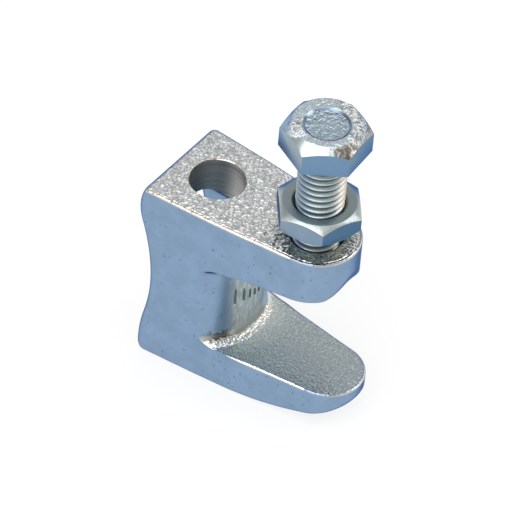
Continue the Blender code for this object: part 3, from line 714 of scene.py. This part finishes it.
castFinish = {
    # Silver, slope, blue and below colour faces by the way they point, which paints light, reflection and
    # shade.
    "silver": (1.0, 1.0, 0.98, 1),
    "slope": (0.78, 0.71, 0.62, 1),
    "blue": (0.245, 0.355, 0.50, 1),
    "below": (0.34, 0.42, 0.50, 1),
    "clouds": 0.22,
    "cloudSize": 4.0,  # mm, as all sizes and depths here
    "lines": (0.50, 0.58, 0.58),  # round the arm's dimples
    # Most colours below paint light: shade and reflections in the throat and under the nut, highlights on
    # edges,
    # band and crumbs, glints on the jaw, and crease shade with some grime. The pits are real.
    "jawTone": (0.56, 0.64, 0.66),
    "jawPale": (0.82, 0.88, 0.84),
    "armEdge": (0.78, 0.69, 0.60),
    "farLine": (0.17, 0.26, 0.44),
    "band": (0.96, 0.92, 0.85),
    "crumb": (0.97, 0.96, 0.92),
    "spark": (1, 1, 0.93),
    "webTone": (0.44, 0.50, 0.48),
    "webPale": (0.64, 0.67, 0.64),
    "webFoot": (0.27, 0.30, 0.28),
    "farTone": (0.36, 0.44, 0.50),
    "underNut": (0.30, 0.33, 0.28),
    "grime": (0.03, 0.03, 0.025),
    "pit": (0.06, 0.08, 0.12),
    "edge": (0.08, 0.13, 0.27, 1),
    "topRoughness": 0.15,
    "wallRoughness": 0.34,
    "throatDull": 0.16,  # added to the roughness
    "armFrom": (33.0, 37.0),  # heights over which the arm's skin takes over
    "armGrain": 1.2,
    "armDepth": 0.28,
    "jawGrain": 0.62,
    "jawDepth": 0.10,
    "bandGrain": 0.8,
    "bandDepth": 0.16,
    "pitSpacing": 1.2,
    "pitDepth": 0.03,
    "sparkSpacing": 0.85,
    "sparkHeight": 0.022,
    "wallRelief": 0.14,  # shares of the relief that stay on the walls, under the nut and along the edge
    "nutRelief": 0.45,
    "edgeRelief": 0.5,
}


def edgeDistance(x, y, wall, centre, radius):
    # How far a spot lies inside the casting's side edge, in mm, along the straight and round the nose.
    half, slope, bowEnd = wall
    share = calc("DIVIDE", plus(x, cast.rearReach), bowEnd + cast.rearReach, clamp=True)
    bow = times(squared(times(share, minus(1.0, share))), 16 * cast.sideBow)
    straight = minus(plus(bow, half), plus(times(x, slope), y))
    away = calc("SQRT", plus(squared(minus(x, centre)), squared(y)))
    onNose = calc("GREATER_THAN", x, centre)
    return plus(times(straight, minus(1.0, onNose)),
                times(minus(radius, away), onNose))


def aheadOfWeb(x, y):
    # How far in front of the web's rounded front a spot lies, in mm.
    across = squared(calc("DIVIDE", y, cast.halfWidth - 0.3))
    front = calc("SQRT", calc("MAXIMUM", minus(1.0, across), 0.0))
    return minus(minus(x, cast.webSide), times(front, cast.webFront - cast.webSide))


def castAreas(tree):
    # Masks that say on which part of the casting a spot lies, and distances in mm.
    spot, facing = spotParts(tree), facingParts(tree)
    area = SimpleNamespace(x=minus(spot["X"], rodX), y=spot["Y"], z=spot["Z"], up=facing["Z"],
                           facingX=facing["X"])
    area.onArm = ramp(area.z, *castFinish["armFrom"])
    area.offArm = minus(1.0, area.onArm)
    area.flat = ramp(area.up, 0.90, 0.98)
    area.rising = ramp(area.up, 0.30, 0.45)
    area.underNut = place(tree, "near", Point=(screwX, 0, cast.height), Radius=9.6, Ragged=0.25)["Mask"]
    nearY = times(area.y, -1.0)
    inside = edgeDistance(area.x, nearY, wallAt(cast.height), cast.rodToScrew, cast.armEnd)
    area.nearEdge = times(fall(inside, 0.6, 1.1), area.onArm, area.rising)
    area.inThroat = times(ramp(area.x, 5.0, 8.5), area.offArm)
    area.jaw = times(area.inThroat, area.flat)
    area.ahead = aheadOfWeb(area.x, area.y)
    behind = fall(area.ahead, 1.1, 1.6)
    area.web = times(area.inThroat, ramp(area.y, -7.2, -3.6), behind)
    area.far = times(area.inThroat, ramp(area.y, 4.5, 6.5), behind)
    area.band = times(area.inThroat, between(area.ahead, 1.1, 1.5, 2.3, 3.0), fall(area.y, 6.2, 8.2))
    return area


def paintArm(area, colour, lines):
    # Lines round the dimples, a painted shadow of the nut, and painted highlights on the arm's rounded edges
    # and near side.
    colour = blend(times(lines, area.onArm, area.flat, 0.6), colour, castFinish["lines"])
    colour = blend(times(area.underNut, area.onArm, 0.8), colour, castFinish["underNut"])
    edged = calc("MAXIMUM", times(area.rising, fall(area.up, 0.88, 0.97)), area.nearEdge)
    return blend(times(edged, area.onArm, 0.75), colour, castFinish["armEdge"])


def paintThroat(tree, area, colour, sparks):
    # Painted shade and reflection under the arm: jaw top and web front duller than the arm, far part of both
    # bluer.
    finish = castFinish
    colour = blend(area.jaw, colour, finish["jawTone"])
    # Sparks are painted glints on the jaw's top.
    colour = blend(times(sparks, 0.55), colour, finish["spark"])
    streaks = noiseAt(vectorMath("MULTIPLY", sized(tree, 1.0), (1.3, 1.3, 0.5))[0], 1.0, 4.0)["Fac"]
    # The web's front gets a streaked painted reflection, and painted shade at its foot.
    webColour = blend(ramp(streaks, 0.35, 0.68), finish["webTone"], finish["webPale"])
    webColour = blend(ramp(area.up, 0.15, 0.65), webColour, finish["webFoot"])
    colour = blend(area.web, colour, webColour)
    nearWeb = times(area.jaw, ramp(area.ahead, 2.0, 9.0, 0.9, 0.0))
    return blend(area.far, blend(nearWeb, colour, finish["jawPale"]), finish["farTone"])


def paintFoot(tree, area, colour):
    # Painted highlight along the web's foot, then painted glints, and painted crease shade with some grime,
    # at the jaw's near corner.
    finish = castFinish
    sloping = ramp(area.up, 0.3, 0.6)
    colour = blend(times(area.band, sloping), colour, finish["band"])
    corner = (rodX + 9.0, -10.1, cast.jawTop + 0.2)
    crumbs = place(tree, "near", Point=corner, Radius=3.9, Ragged=0.8)["Mask"]
    colour = blend(times(crumbs, sloping), colour, finish["crumb"])
    sway = times(minus(noiseAt(sized(tree, 1.0), 1.7, 4.0)["Fac"], 0.5), 3.0)
    above = minus(plus(area.z, sway), cast.jawTop)
    grime = times(between(above, 0.7, 1.1, 1.9, 2.5), fall(area.y, -6.6, -4.6),
                  area.inThroat, fall(area.x, 11.0, 12.5))
    return blend(times(grime, 0.9), colour, finish["grime"])


def farEdges(area):
    # Thin lines of painted shade on the edges that lie away from the viewer.
    arm = edgeDistance(area.x, area.y, wallAt(cast.height), cast.rodToScrew, cast.armEnd)
    arm = calc("MINIMUM", arm, plus(area.x, rearReach(cast.height)))
    jaw = edgeDistance(area.x, area.y, wallAt(cast.jawTop), cast.rodToTip, cast.tipRadius)
    line = calc("MAXIMUM", times(fall(arm, 0.3, 0.8), area.onArm),
                times(fall(jaw, 0.3, 0.8), area.inThroat))
    return times(line, area.rising, ramp(area.facingX, 0.35, 0.6, 0.8, 0.0))


def castRelief(tree, area, wall, dimples, sparks, pitted):
    # Relief in mm: coarse dimples on the arm, finer ones below it, and hardly any on the walls.
    finish = castFinish
    coarse = times(dimples, finish["armDepth"], area.onArm,
                   ramp(area.underNut, 0.0, 1.0, 1.0, finish["nutRelief"]))
    fine = place(tree, "grain", Grain_size=finish["jawGrain"], Tooth=0.6)["Height"]
    lumps = place(tree, "grain", Grain_size=finish["bandGrain"], Tooth=0.3)["Height"]
    relief = plus(coarse, times(fine, finish["jawDepth"], area.offArm))
    relief = times(relief, ramp(wall, 0.0, 1.0, 1.0, finish["wallRelief"]))
    relief = plus(relief, times(lumps, area.band, finish["bandDepth"]),
                  times(sparks, finish["sparkHeight"]))
    relief = times(relief, ramp(area.up, 0.75, 0.96, 0.45, 1.0),
                   ramp(area.nearEdge, 0.0, 1.0, 1.0, finish["edgeRelief"]))
    return minus(relief, times(pitted, finish["pitDepth"]))


def makeCastMaterial():
    material, tree, shader = newMaterial("castSkin")
    finish, area = castFinish, castAreas(tree)
    tone = zincTone(tree, finish)
    dimples = place(tree, "grain", Grain_size=finish["armGrain"], Tooth=0.30)
    pits = place(tree, "pits", Spacing=finish["pitSpacing"], Few=0.60)["Mask"]
    pitted = times(pits, tone["Wall"], 0.55)
    sparks = times(place(tree, "pits", Spacing=finish["sparkSpacing"], Few=0.22)["Mask"], area.jaw)
    colour = blend(pitted, paintArm(area, tone["Colour"], dimples["Lines"]), finish["pit"])
    colour = paintThroat(tree, area, darkenEdges(tree, colour, finish["edge"]), sparks)
    colour = blend(farEdges(area), paintFoot(tree, area, colour), finish["farLine"])
    dull = times(calc("MAXIMUM", area.web, area.far), finish["throatDull"])
    rough = ramp(tone["Wall"], 0.0, 1.0, finish["topRoughness"], finish["wallRoughness"])
    relief = castRelief(tree, area, tone["Wall"], dimples["Height"], sparks, pitted)
    coat(shader, colour, plus(rough, dull), relief)
    return material


boreFinish = {"dark": (0.40, 0.40, 0.36), "light": (0.58, 0.57, 0.52), "roughness": 0.5, "ringDepth": 0.03}


def makeBoreMaterial():
    # Machined bore: fine rings left by the drill.
    material, tree, shader = newMaterial("drilledBore")
    finish = boreFinish
    line = addNode(tree, "ShaderNodeCombineXYZ", {2: times(spotParts(tree)["Z"], 2.6)})[0]
    rings = noiseAt(vectorMath("ADD", sized(tree, 11.0), line)[0], 1.0, 3.0)["Fac"]
    colour = blend(ramp(rings, 0.3, 0.7), finish["dark"], finish["light"])
    coat(shader, colour, finish["roughness"], rings, finish["ringDepth"])
    return material


# Small raised bars on the web's front.
webMarks = {
    "places": [(-4.55, 17.7, 22.6), (-2.15, 17.3, 21.2), (-0.2, 16.9, 19.8), (1.6, 16.4, 18.6),
               (3.4, 15.9, 17.5)],  # place across, foot and head, in mm
    "halfWidth": 0.23,
    "height": 0.26,
}
# Painted shade on the bars and a painted highlight on their feet.
markFinish = {"dark": (0.14, 0.17, 0.16), "side": (0.60, 0.62, 0.58), "light": (0.95, 0.93, 0.88),
              "roughness": 0.35}


def makeMarkMaterial():
    # Raised bars: painted shade, lighter on the sides that face +y, and a painted highlight on their
    # down-facing feet.
    material, tree, shader = newMaterial("markZinc")
    facing = facingParts(tree)
    side = blend(ramp(facing["Y"], 0.0, 0.5), markFinish["dark"], markFinish["side"])
    colour = blend(ramp(facing["Z"], -0.16, -0.04), markFinish["light"], side)
    setInputs(shader, {"Base Color": colour, "Roughness": markFinish["roughness"]})
    return material


def addMarks(bm):
    half = widthAt(cast.webSide, wallAt(18.0))
    for y, foot, head in webMarks["places"]:
        x = cast.webSide + (cast.webFront - cast.webSide) * math.sqrt(1 - (y / half)**2) + rodX
        made = bmesh.ops.create_uvsphere(bm, u_segments=20, v_segments=14, radius=1)["verts"]
        for vert in made:
            rise = math.copysign(abs(vert.co.z)**0.5, vert.co.z)
            vert.co = Vector((x + vert.co.x * webMarks["height"], y + vert.co.y * webMarks["halfWidth"],
                              mix(foot, head, (rise + 1) / 2))) * mm


def makeCasting():
    print("casting")
    body = toObject(skinCasting(), "castBody")
    top = cast.height
    boreFoot = top - cast.ceilingDepth - cast.ceilingFillet
    tools = [channelTool(),
             holeTool("rodHoleTool", cast.rodHole / 2, top, boreFoot, cast.rodChamfer, rodX, 0),
             holeTool("screwHoleTool", cast.screwHole / 2, top, armUnder(cast.rodToScrew), cast.screwChamfer,
                      screwX, cast.screwChamfer)]
    for tool in tools:
        cut(body, tool)
    settle(body, tools, 32)
    bm = bmesh.new()
    bm.from_mesh(body.data)
    castFaces = len(bm.faces)
    addMarks(bm)
    bm.to_mesh(body.data)
    bm.free()
    for material in (makeCastMaterial(), makeBoreMaterial(), makeMarkMaterial()):
        body.data.materials.append(material)
    for face in body.data.polygons:
        middle = face.center / mm
        away = math.hypot(middle.x - rodX, middle.y)
        if away < cast.rodHole / 2 + 0.02 and abs(face.normal.z) < 0.5 and middle.z > boreFoot:
            face.material_index = 1
        if face.index >= castFaces:
            face.material_index = 2
            face.use_smooth = True
    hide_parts("clamp_body")
    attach(body, "clamp_body")


# Set screw, in mm from the underside of its head.
screw = {
    "thread": 9.9, "pitch": 1.5, "depth": 0.92, "length": 35.0, "neck": 0.8, "point": 1.3,
    "acrossFlats": 16.0, "headHeight": 6.3, "headGap": 23.2, "chamferAngle": 30.0,
    "faceRims": [(6.9, 0.0), (7.1, 0.1), (8.0, 1.04)],  # radius, depth below the face
    "faceShift": (-0.24, 0.38), "recess": 4.8, "recessDepth": 0.35, "recessSlope": 0.5,
    "turn": -85.7, "around": 72, "perPitch": 16, "softEdge": 0.12,
}


def hexBlock(name, height, turn, place):
    bm = bmesh.new()
    radius = screw["acrossFlats"] / math.sqrt(3) * mm
    bmesh.ops.create_cone(bm, cap_ends=True, segments=6, radius1=radius, radius2=radius, depth=height * mm)
    first = max(bm.verts, key=lambda v: v.co.x)
    offset = math.atan2(first.co.y, first.co.x)
    bmesh.ops.rotate(bm, verts=bm.verts, matrix=Matrix.Rotation(math.radians(turn) - offset, 3, "Z"))
    bmesh.ops.translate(bm, verts=bm.verts, vec=(0, 0, height / 2 * mm))
    return toObject(bm, name, Vector(place) * mm)


def soften(thing, width):
    modifier = thing.modifiers.new("softEdges", "BEVEL")
    modifier.width = width * mm
    modifier.segments = 2
    modifier.limit_method = "ANGLE"
    modifier.angle_limit = math.radians(24)
    modifier.use_clamp_overlap = True


def threadMesh():
    # A grid wrapped round the axis, whose radius follows one right-handed helix.
    rows = int(screw["length"] / screw["pitch"] * screw["perPitch"])
    around, crest = screw["around"], screw["thread"] / 2
    bm = bmesh.new()
    rings = []
    for row in range(rows + 1):
        z = -screw["length"] * row / rows
        ring = []
        for k in range(around):
            turn = math.tau * k / around
            phase = (z / screw["pitch"] - k / around) % 1.0
            away = abs(phase - 0.5) * 2
            flank = min(1.0, max(0.0, (away - 0.125) / 0.625))
            drop = mix(flank, smoothStep(0, 1, flank), 0.5)
            drop = mix(1.0, drop, smoothStep(0.1, screw["neck"], -z))
            radius = crest - screw["depth"] * drop
            radius = min(radius, crest - screw["point"] + (z + screw["length"]))
            ring.append(bm.verts.new((radius * math.cos(turn) * mm, radius * math.sin(turn) * mm, z * mm)))
        rings.append(ring)
    bridge(bm, rings)
    bm.faces.new(rings[-1])
    return bm


screwFinish = {
    # Silver, slope, blue and below colour faces by the way they point, which paints light, reflection and
    # shade.
    "silver": (0.70, 0.79, 0.83, 1),
    "slope": (0.75, 0.73, 0.72, 1),
    "blue": (0.17, 0.285, 0.43, 1),
    "below": (0.16, 0.20, 0.20, 1),
    "clouds": 0.08,
    "cloudSize": 4.0,  # mm, as all sizes and depths here
    "recess": (0.54, 0.65, 0.72),
    # Colours below paint shade on the recess wall, rim and sides, and glints in the crumbs; the grime patch
    # is real.
    "recessWall": (0.24, 0.32, 0.42),
    "leftRim": (0.34, 0.46, 0.62),
    "rightRim": (0.46, 0.45, 0.42),
    "grime": (0.20, 0.17, 0.13),
    "crumbDark": (0.38, 0.42, 0.43),
    "crumbLight": (1.0, 1.0, 0.98),
    "leftSide": (0.37, 0.45, 0.47, 1),
    "rightSide": (0.22, 0.31, 0.355, 1),
    "edge": (0.13, 0.23, 0.44, 1),
    "topRoughness": 0.20,
    "sideRoughness": 0.40,
    "ripple": 1.2,
    "rippleDepth": 0.26,
    "lump": 0.9,
    "lumpDepth": 0.60,
    "lumpSide": (0.64, 0.77, 0),  # direction from the axis
}


def lumpyRim(tree, out, up):
    # Where the head's rim is lumpy: towards one side, and at a patch opposite.
    finish = screwFinish
    rim = times(between(out, 4.7, 5.3, 7.2, 8.6), ramp(up, 0.4, 0.6))
    right = calc("DIVIDE", along(sized(tree, 1.0), finish["lumpSide"]), out)
    left = place(tree, "near", Point=(-3.8, -4.0, screw["headHeight"]), Radius=3.0, Ragged=0.4)["Mask"]
    return times(rim, calc("MAXIMUM", ramp(right, 0.42, 0.70), left))


def makeHeadMaterial():
    # Forged head: a rippled recess, and a rim with lumps and a patch of grime.
    # Painted shade on the recess wall and the chamfer's left and right, and white painted glints on the
    # lumps.
    material, tree, shader = newMaterial("headZinc")
    finish = screwFinish
    spot, facing = spotParts(tree), facingParts(tree)
    up, out = facing["Z"], fromAxis(spot)
    tone = zincTone(tree, finish)
    inner = times(fall(out, 4.6, 4.95), ramp(spot["Z"], 5.0, 5.5))
    # Painted shade on the recess wall.
    sunk = times(inner, fall(up, 0.88, 0.97))
    colour = blend(sunk, blend(inner, tone["Colour"], finish["recess"]), finish["recessWall"])
    colour = place(tree, "sides", Colour=colour, Wall=tone["Wall"], Left=finish["leftSide"],
                   Right=finish["rightSide"])["Colour"]
    slanted = times(between(up, 0.50, 0.65, 0.88, 0.95), ramp(out, 5.2, 5.6))
    # Painted shade on the chamfer faces that look left and right.
    leftRim = times(slanted, fall(facing["X"], -0.44, -0.26))
    rightRim = times(slanted, ramp(facing["X"], 0.36, 0.46))
    colour = blend(rightRim, blend(leftRim, colour, finish["leftRim"]), finish["rightRim"])
    colour = darkenEdges(tree, colour, finish["edge"])
    lumpy = lumpyRim(tree, out, up)
    crumb = noiseAt(sized(tree, finish["lump"]), 1.2, 2.0)["Fac"]
    # White painted glints among the crumbs.
    crumbs = blend(ramp(crumb, 0.39, 0.56), finish["crumbDark"], finish["crumbLight"])
    colour = blend(times(lumpy, 0.9), colour, crumbs)
    grimy = place(tree, "near", Point=(6.9, -4.0, screw["headHeight"] - 1.2), Radius=3.2, Ragged=1.6)["Mask"]
    grimy = times(grimy, slanted, ramp(crumb, 0.40, 0.52), 0.9)
    rough = ramp(tone["Wall"], 0.0, 1.0, finish["topRoughness"], finish["sideRoughness"])
    ripple = place(tree, "grain", Grain_size=finish["ripple"], Tooth=1.0)["Height"]
    lumps = place(tree, "grain", Grain_size=finish["lump"], Tooth=1.1)["Height"]
    rippled = plus(0.006, times(ramp(up, 0.9, 0.98), finish["rippleDepth"]))
    lumps = times(lumps, lumpy, finish["lumpDepth"])
    coat(shader, blend(grimy, colour, finish["grime"]), rough, plus(lumps, times(ripple, rippled)))
    return material


threadFinish = {
    # Painted light across the thread, and painted shade at its root.
    "left": (0.44, 0.54, 0.63),
    "crest": (0.58, 0.65, 0.66),
    "right": (0.80, 0.75, 0.66),
    "root": (0.11, 0.14, 0.15),
    "roughness": 0.38,
    "grain": 0.6,  # mm
    "grainDepth": 0.012,
}


def makeThreadMaterial():
    # Plated thread, with painted shade towards its root and painted light across it: bluish left, cream
    # highlight right.
    material, tree, shader = newMaterial("threadZinc")
    finish, crest = threadFinish, screw["thread"] / 2
    high = ramp(fromAxis(spotParts(tree)), crest - screw["depth"], crest - 0.25)
    across = along(sized(tree, 1.0), camera["right"])
    side = blend(ramp(across, -3.5, -0.5), finish["left"], finish["crest"])
    side = blend(ramp(across, 2.4, 4.4), side, finish["right"])
    tooth = place(tree, "grain", Grain_size=finish["grain"], Tooth=0.6)["Height"]
    coat(shader, blend(high, finish["root"], side), finish["roughness"], tooth, finish["grainDepth"])
    return material


def makeScrew():
    print("set screw")
    spot = (screwX, 0, cast.height + screw["headGap"])
    head = hexBlock("setScrew", screw["headHeight"], screw["turn"], spot)
    corner = screw["acrossFlats"] / math.sqrt(3) + 2
    high = screw["headHeight"]
    lastOut, lastDown = screw["faceRims"][-1]
    slant = (corner - lastOut) * math.tan(math.radians(screw["chamferAngle"]))
    rims = [(out, high - down) for out, down in screw["faceRims"]]
    profile = [(0, high), *rims, (corner, high - lastDown - slant), (corner, -2), (0, -2)]
    envelope = turned("headEnvelope", profile, spot, 144)
    # The forged face sits a little off the hexagon's axis.
    for vert in envelope.data.vertices:
        share = smoothStep(high - lastDown, high - 0.1, vert.co.z / mm)
        vert.co += Vector((*screw["faceShift"], 0)) * (share * mm)
    inner, floor = screw["recess"], high - screw["recessDepth"]
    recess = turned("headRecess", [(0, high + 1), (inner, high + 1), (inner, high),
                                   (inner - screw["recessSlope"], floor), (0, floor)], spot, 96)
    cut(head, envelope, "INTERSECT")
    cut(head, recess)
    soften(head, screw["softEdge"])
    settle(head, [envelope, recess], 30)
    headFaces = len(head.data.polygons)
    thread = toObject(threadMesh(), "threadPart", Vector(spot) * mm)
    thread.data.shade_smooth()
    bm = bmesh.new()
    bm.from_mesh(head.data)
    bm.from_mesh(thread.data)
    bm.to_mesh(head.data)
    bm.free()
    bpy.data.objects.remove(thread, do_unlink=True)
    head.data.materials.append(makeHeadMaterial())
    head.data.materials.append(makeThreadMaterial())
    for number in range(headFaces, len(head.data.polygons)):
        head.data.polygons[number].material_index = 1
    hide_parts("set_screw")
    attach(head, "set_screw")


# Lock nut, in mm from its lower face.
nut = {
    "thickness": 5.0, "gap": 4.2, "chamferRadius": 7.4, "chamferAngle": 33.0, "countersink": 5.6,
    "countersinkDepth": 0.35, "bore": 10.06, "turn": -50.1, "softEdge": 0.10,
}
nutFinish = {
    # Colours by facing paint light: a cream highlight on the chamfers, shade below, lit and shaded sides.
    "silver": (0.40, 0.48, 0.50, 1),
    "slope": (0.92, 0.85, 0.72, 1),
    "blue": (0.22, 0.31, 0.42, 1),
    "below": (0.12, 0.15, 0.13, 1),
    "clouds": 0.12,
    "cloudSize": 3.0,  # mm, as all sizes and depths here
    "leftSide": (0.31, 0.36, 0.39, 1),
    "rightSide": (0.09, 0.17, 0.27, 1),
    "inside": (0.40, 0.43, 0.34),
    "edge": (0.10, 0.18, 0.36, 1),
    "roughness": 0.34,
    "grain": 0.8,
    "grainDepth": 0.02,
}


def makeNutMaterial():
    material, tree, shader = newMaterial("nutZinc")
    finish, sink = nutFinish, nut["countersink"]
    tone = zincTone(tree, finish)
    colour = place(tree, "sides", Colour=tone["Colour"], Wall=tone["Wall"], Left=finish["leftSide"],
                   Right=finish["rightSide"])["Colour"]
    inside = fall(fromAxis(spotParts(tree)), sink - 0.1, sink + 0.3)
    colour = darkenEdges(tree, blend(inside, colour, finish["inside"]), finish["edge"])
    tooth = place(tree, "grain", Grain_size=finish["grain"], Tooth=0.8)["Height"]
    coat(shader, colour, finish["roughness"], tooth, finish["grainDepth"])
    return material


def makeNut():
    print("lock nut")
    spot = (screwX, 0, cast.height + nut["gap"])
    high, bore, sink = nut["thickness"], nut["bore"] / 2, nut["countersink"]
    block = hexBlock("lockNut", high, nut["turn"], spot)
    corner = screw["acrossFlats"] / math.sqrt(3) + 2
    slant = (corner - nut["chamferRadius"]) * math.tan(math.radians(nut["chamferAngle"]))
    envelope = turned("nutEnvelope", [(0, high), (nut["chamferRadius"], high), (corner, high - slant),
                                      (corner, slant), (nut["chamferRadius"], 0), (0, 0)], spot, 144)
    deep = nut["countersinkDepth"]
    hole = turned("nutHole", [(0, high + 1), (sink, high + 1), (sink, high), (bore, high - deep),
                              (bore, deep), (sink, 0), (sink, -1), (0, -1)], spot, 96)
    cut(block, envelope, "INTERSECT")
    cut(block, hole)
    soften(block, nut["softEdge"])
    settle(block, [envelope, hole], 30)
    block.data.materials.append(makeNutMaterial())
    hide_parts("lock_nut")
    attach(block, "lock_nut")


# Floor, world and lamps.
studio = {
    "floorWhite": 0.78,  # glow of the floor where it is seen
    "floorGlow": 0.45,  # glow of the floor as it lights the clamp
    "floorColour": 0.26,
    "skyLow": 0.95,
    "skyMiddle": 0.42,
    "skyTop": 1.15,
    "lamps": [
        # name, azimuth, elevation, distance, size, power
        ("keyLamp", -3, 52, 0.9, 0.9, 3.3),
        ("rearLamp", 137, 45, 1.1, 0.5, 1.6),
    ],
}


def makeStudio():
    print("floor and light")
    bm = bmesh.new()
    bmesh.ops.create_circle(bm, cap_ends=True, segments=96, radius=6)
    floor = toObject(bm, "floor")
    material = bpy.data.materials.new("paleFloor")
    material.use_nodes = True
    tree = material.node_tree
    tree.nodes.remove(tree.nodes["Principled BSDF"])
    path = addNode(tree, "ShaderNodeLightPath", {})
    seen = calc("MAXIMUM", path["Is Camera Ray"], path["Is Glossy Ray"], path["Is Transmission Ray"])
    glow = plus(times(seen, studio["floorWhite"] - studio["floorGlow"]), studio["floorGlow"])
    light = addNode(tree, "ShaderNodeEmission", {"Color": (1, 1, 1, 1), "Strength": glow})
    level = studio["floorColour"]
    matt = addNode(tree, "ShaderNodeBsdfDiffuse", {"Color": (level, level, level, 1)})
    both = addNode(tree, "ShaderNodeAddShader", {0: light[0], 1: matt[0]})
    setInputs(tree.nodes["Material Output"], {"Surface": both[0]})
    floor.data.materials.append(material)

    world = bpy.data.worlds.new("studio")
    world.use_nodes = True
    scene.world = world
    tree = world.node_tree
    towards = addNode(tree, "ShaderNodeTexCoord", {})["Generated"]
    up = addNode(tree, "ShaderNodeSeparateXYZ", {0: towards})["Z"]
    sky = plus(ramp(up, 0.10, 0.62, studio["skyLow"], studio["skyMiddle"]),
               ramp(up, 0.78, 0.97, 0.0, studio["skyTop"] - studio["skyMiddle"]))
    seen = addNode(tree, "ShaderNodeLightPath", {})["Is Camera Ray"]
    strength = plus(sky, times(seen, minus(1.0, sky)))
    setInputs(tree.nodes["Background"], {"Strength": strength, "Color": (1, 1, 1, 1)})

    aim = Vector((0, 0, 30)) * mm
    for name, azimuth, elevation, distance, size, power in studio["lamps"]:
        data = bpy.data.lights.new(name, "AREA")
        data.shape = "DISK"
        data.size = size
        data.energy = power
        lamp = bpy.data.objects.new(name, data)
        turn, rise = math.radians(azimuth), math.radians(elevation)
        out = Vector((math.sin(turn) * math.cos(rise), -math.cos(turn) * math.cos(rise), math.sin(rise)))
        lamp.location = aim + out * distance
        lamp.rotation_euler = out.to_track_quat("Z", "Y").to_euler()
        scene.collection.objects.link(lamp)


scene.view_settings.view_transform = "Standard"
placeCamera()
makeCasting()
makeScrew()
makeNut()
makeStudio()
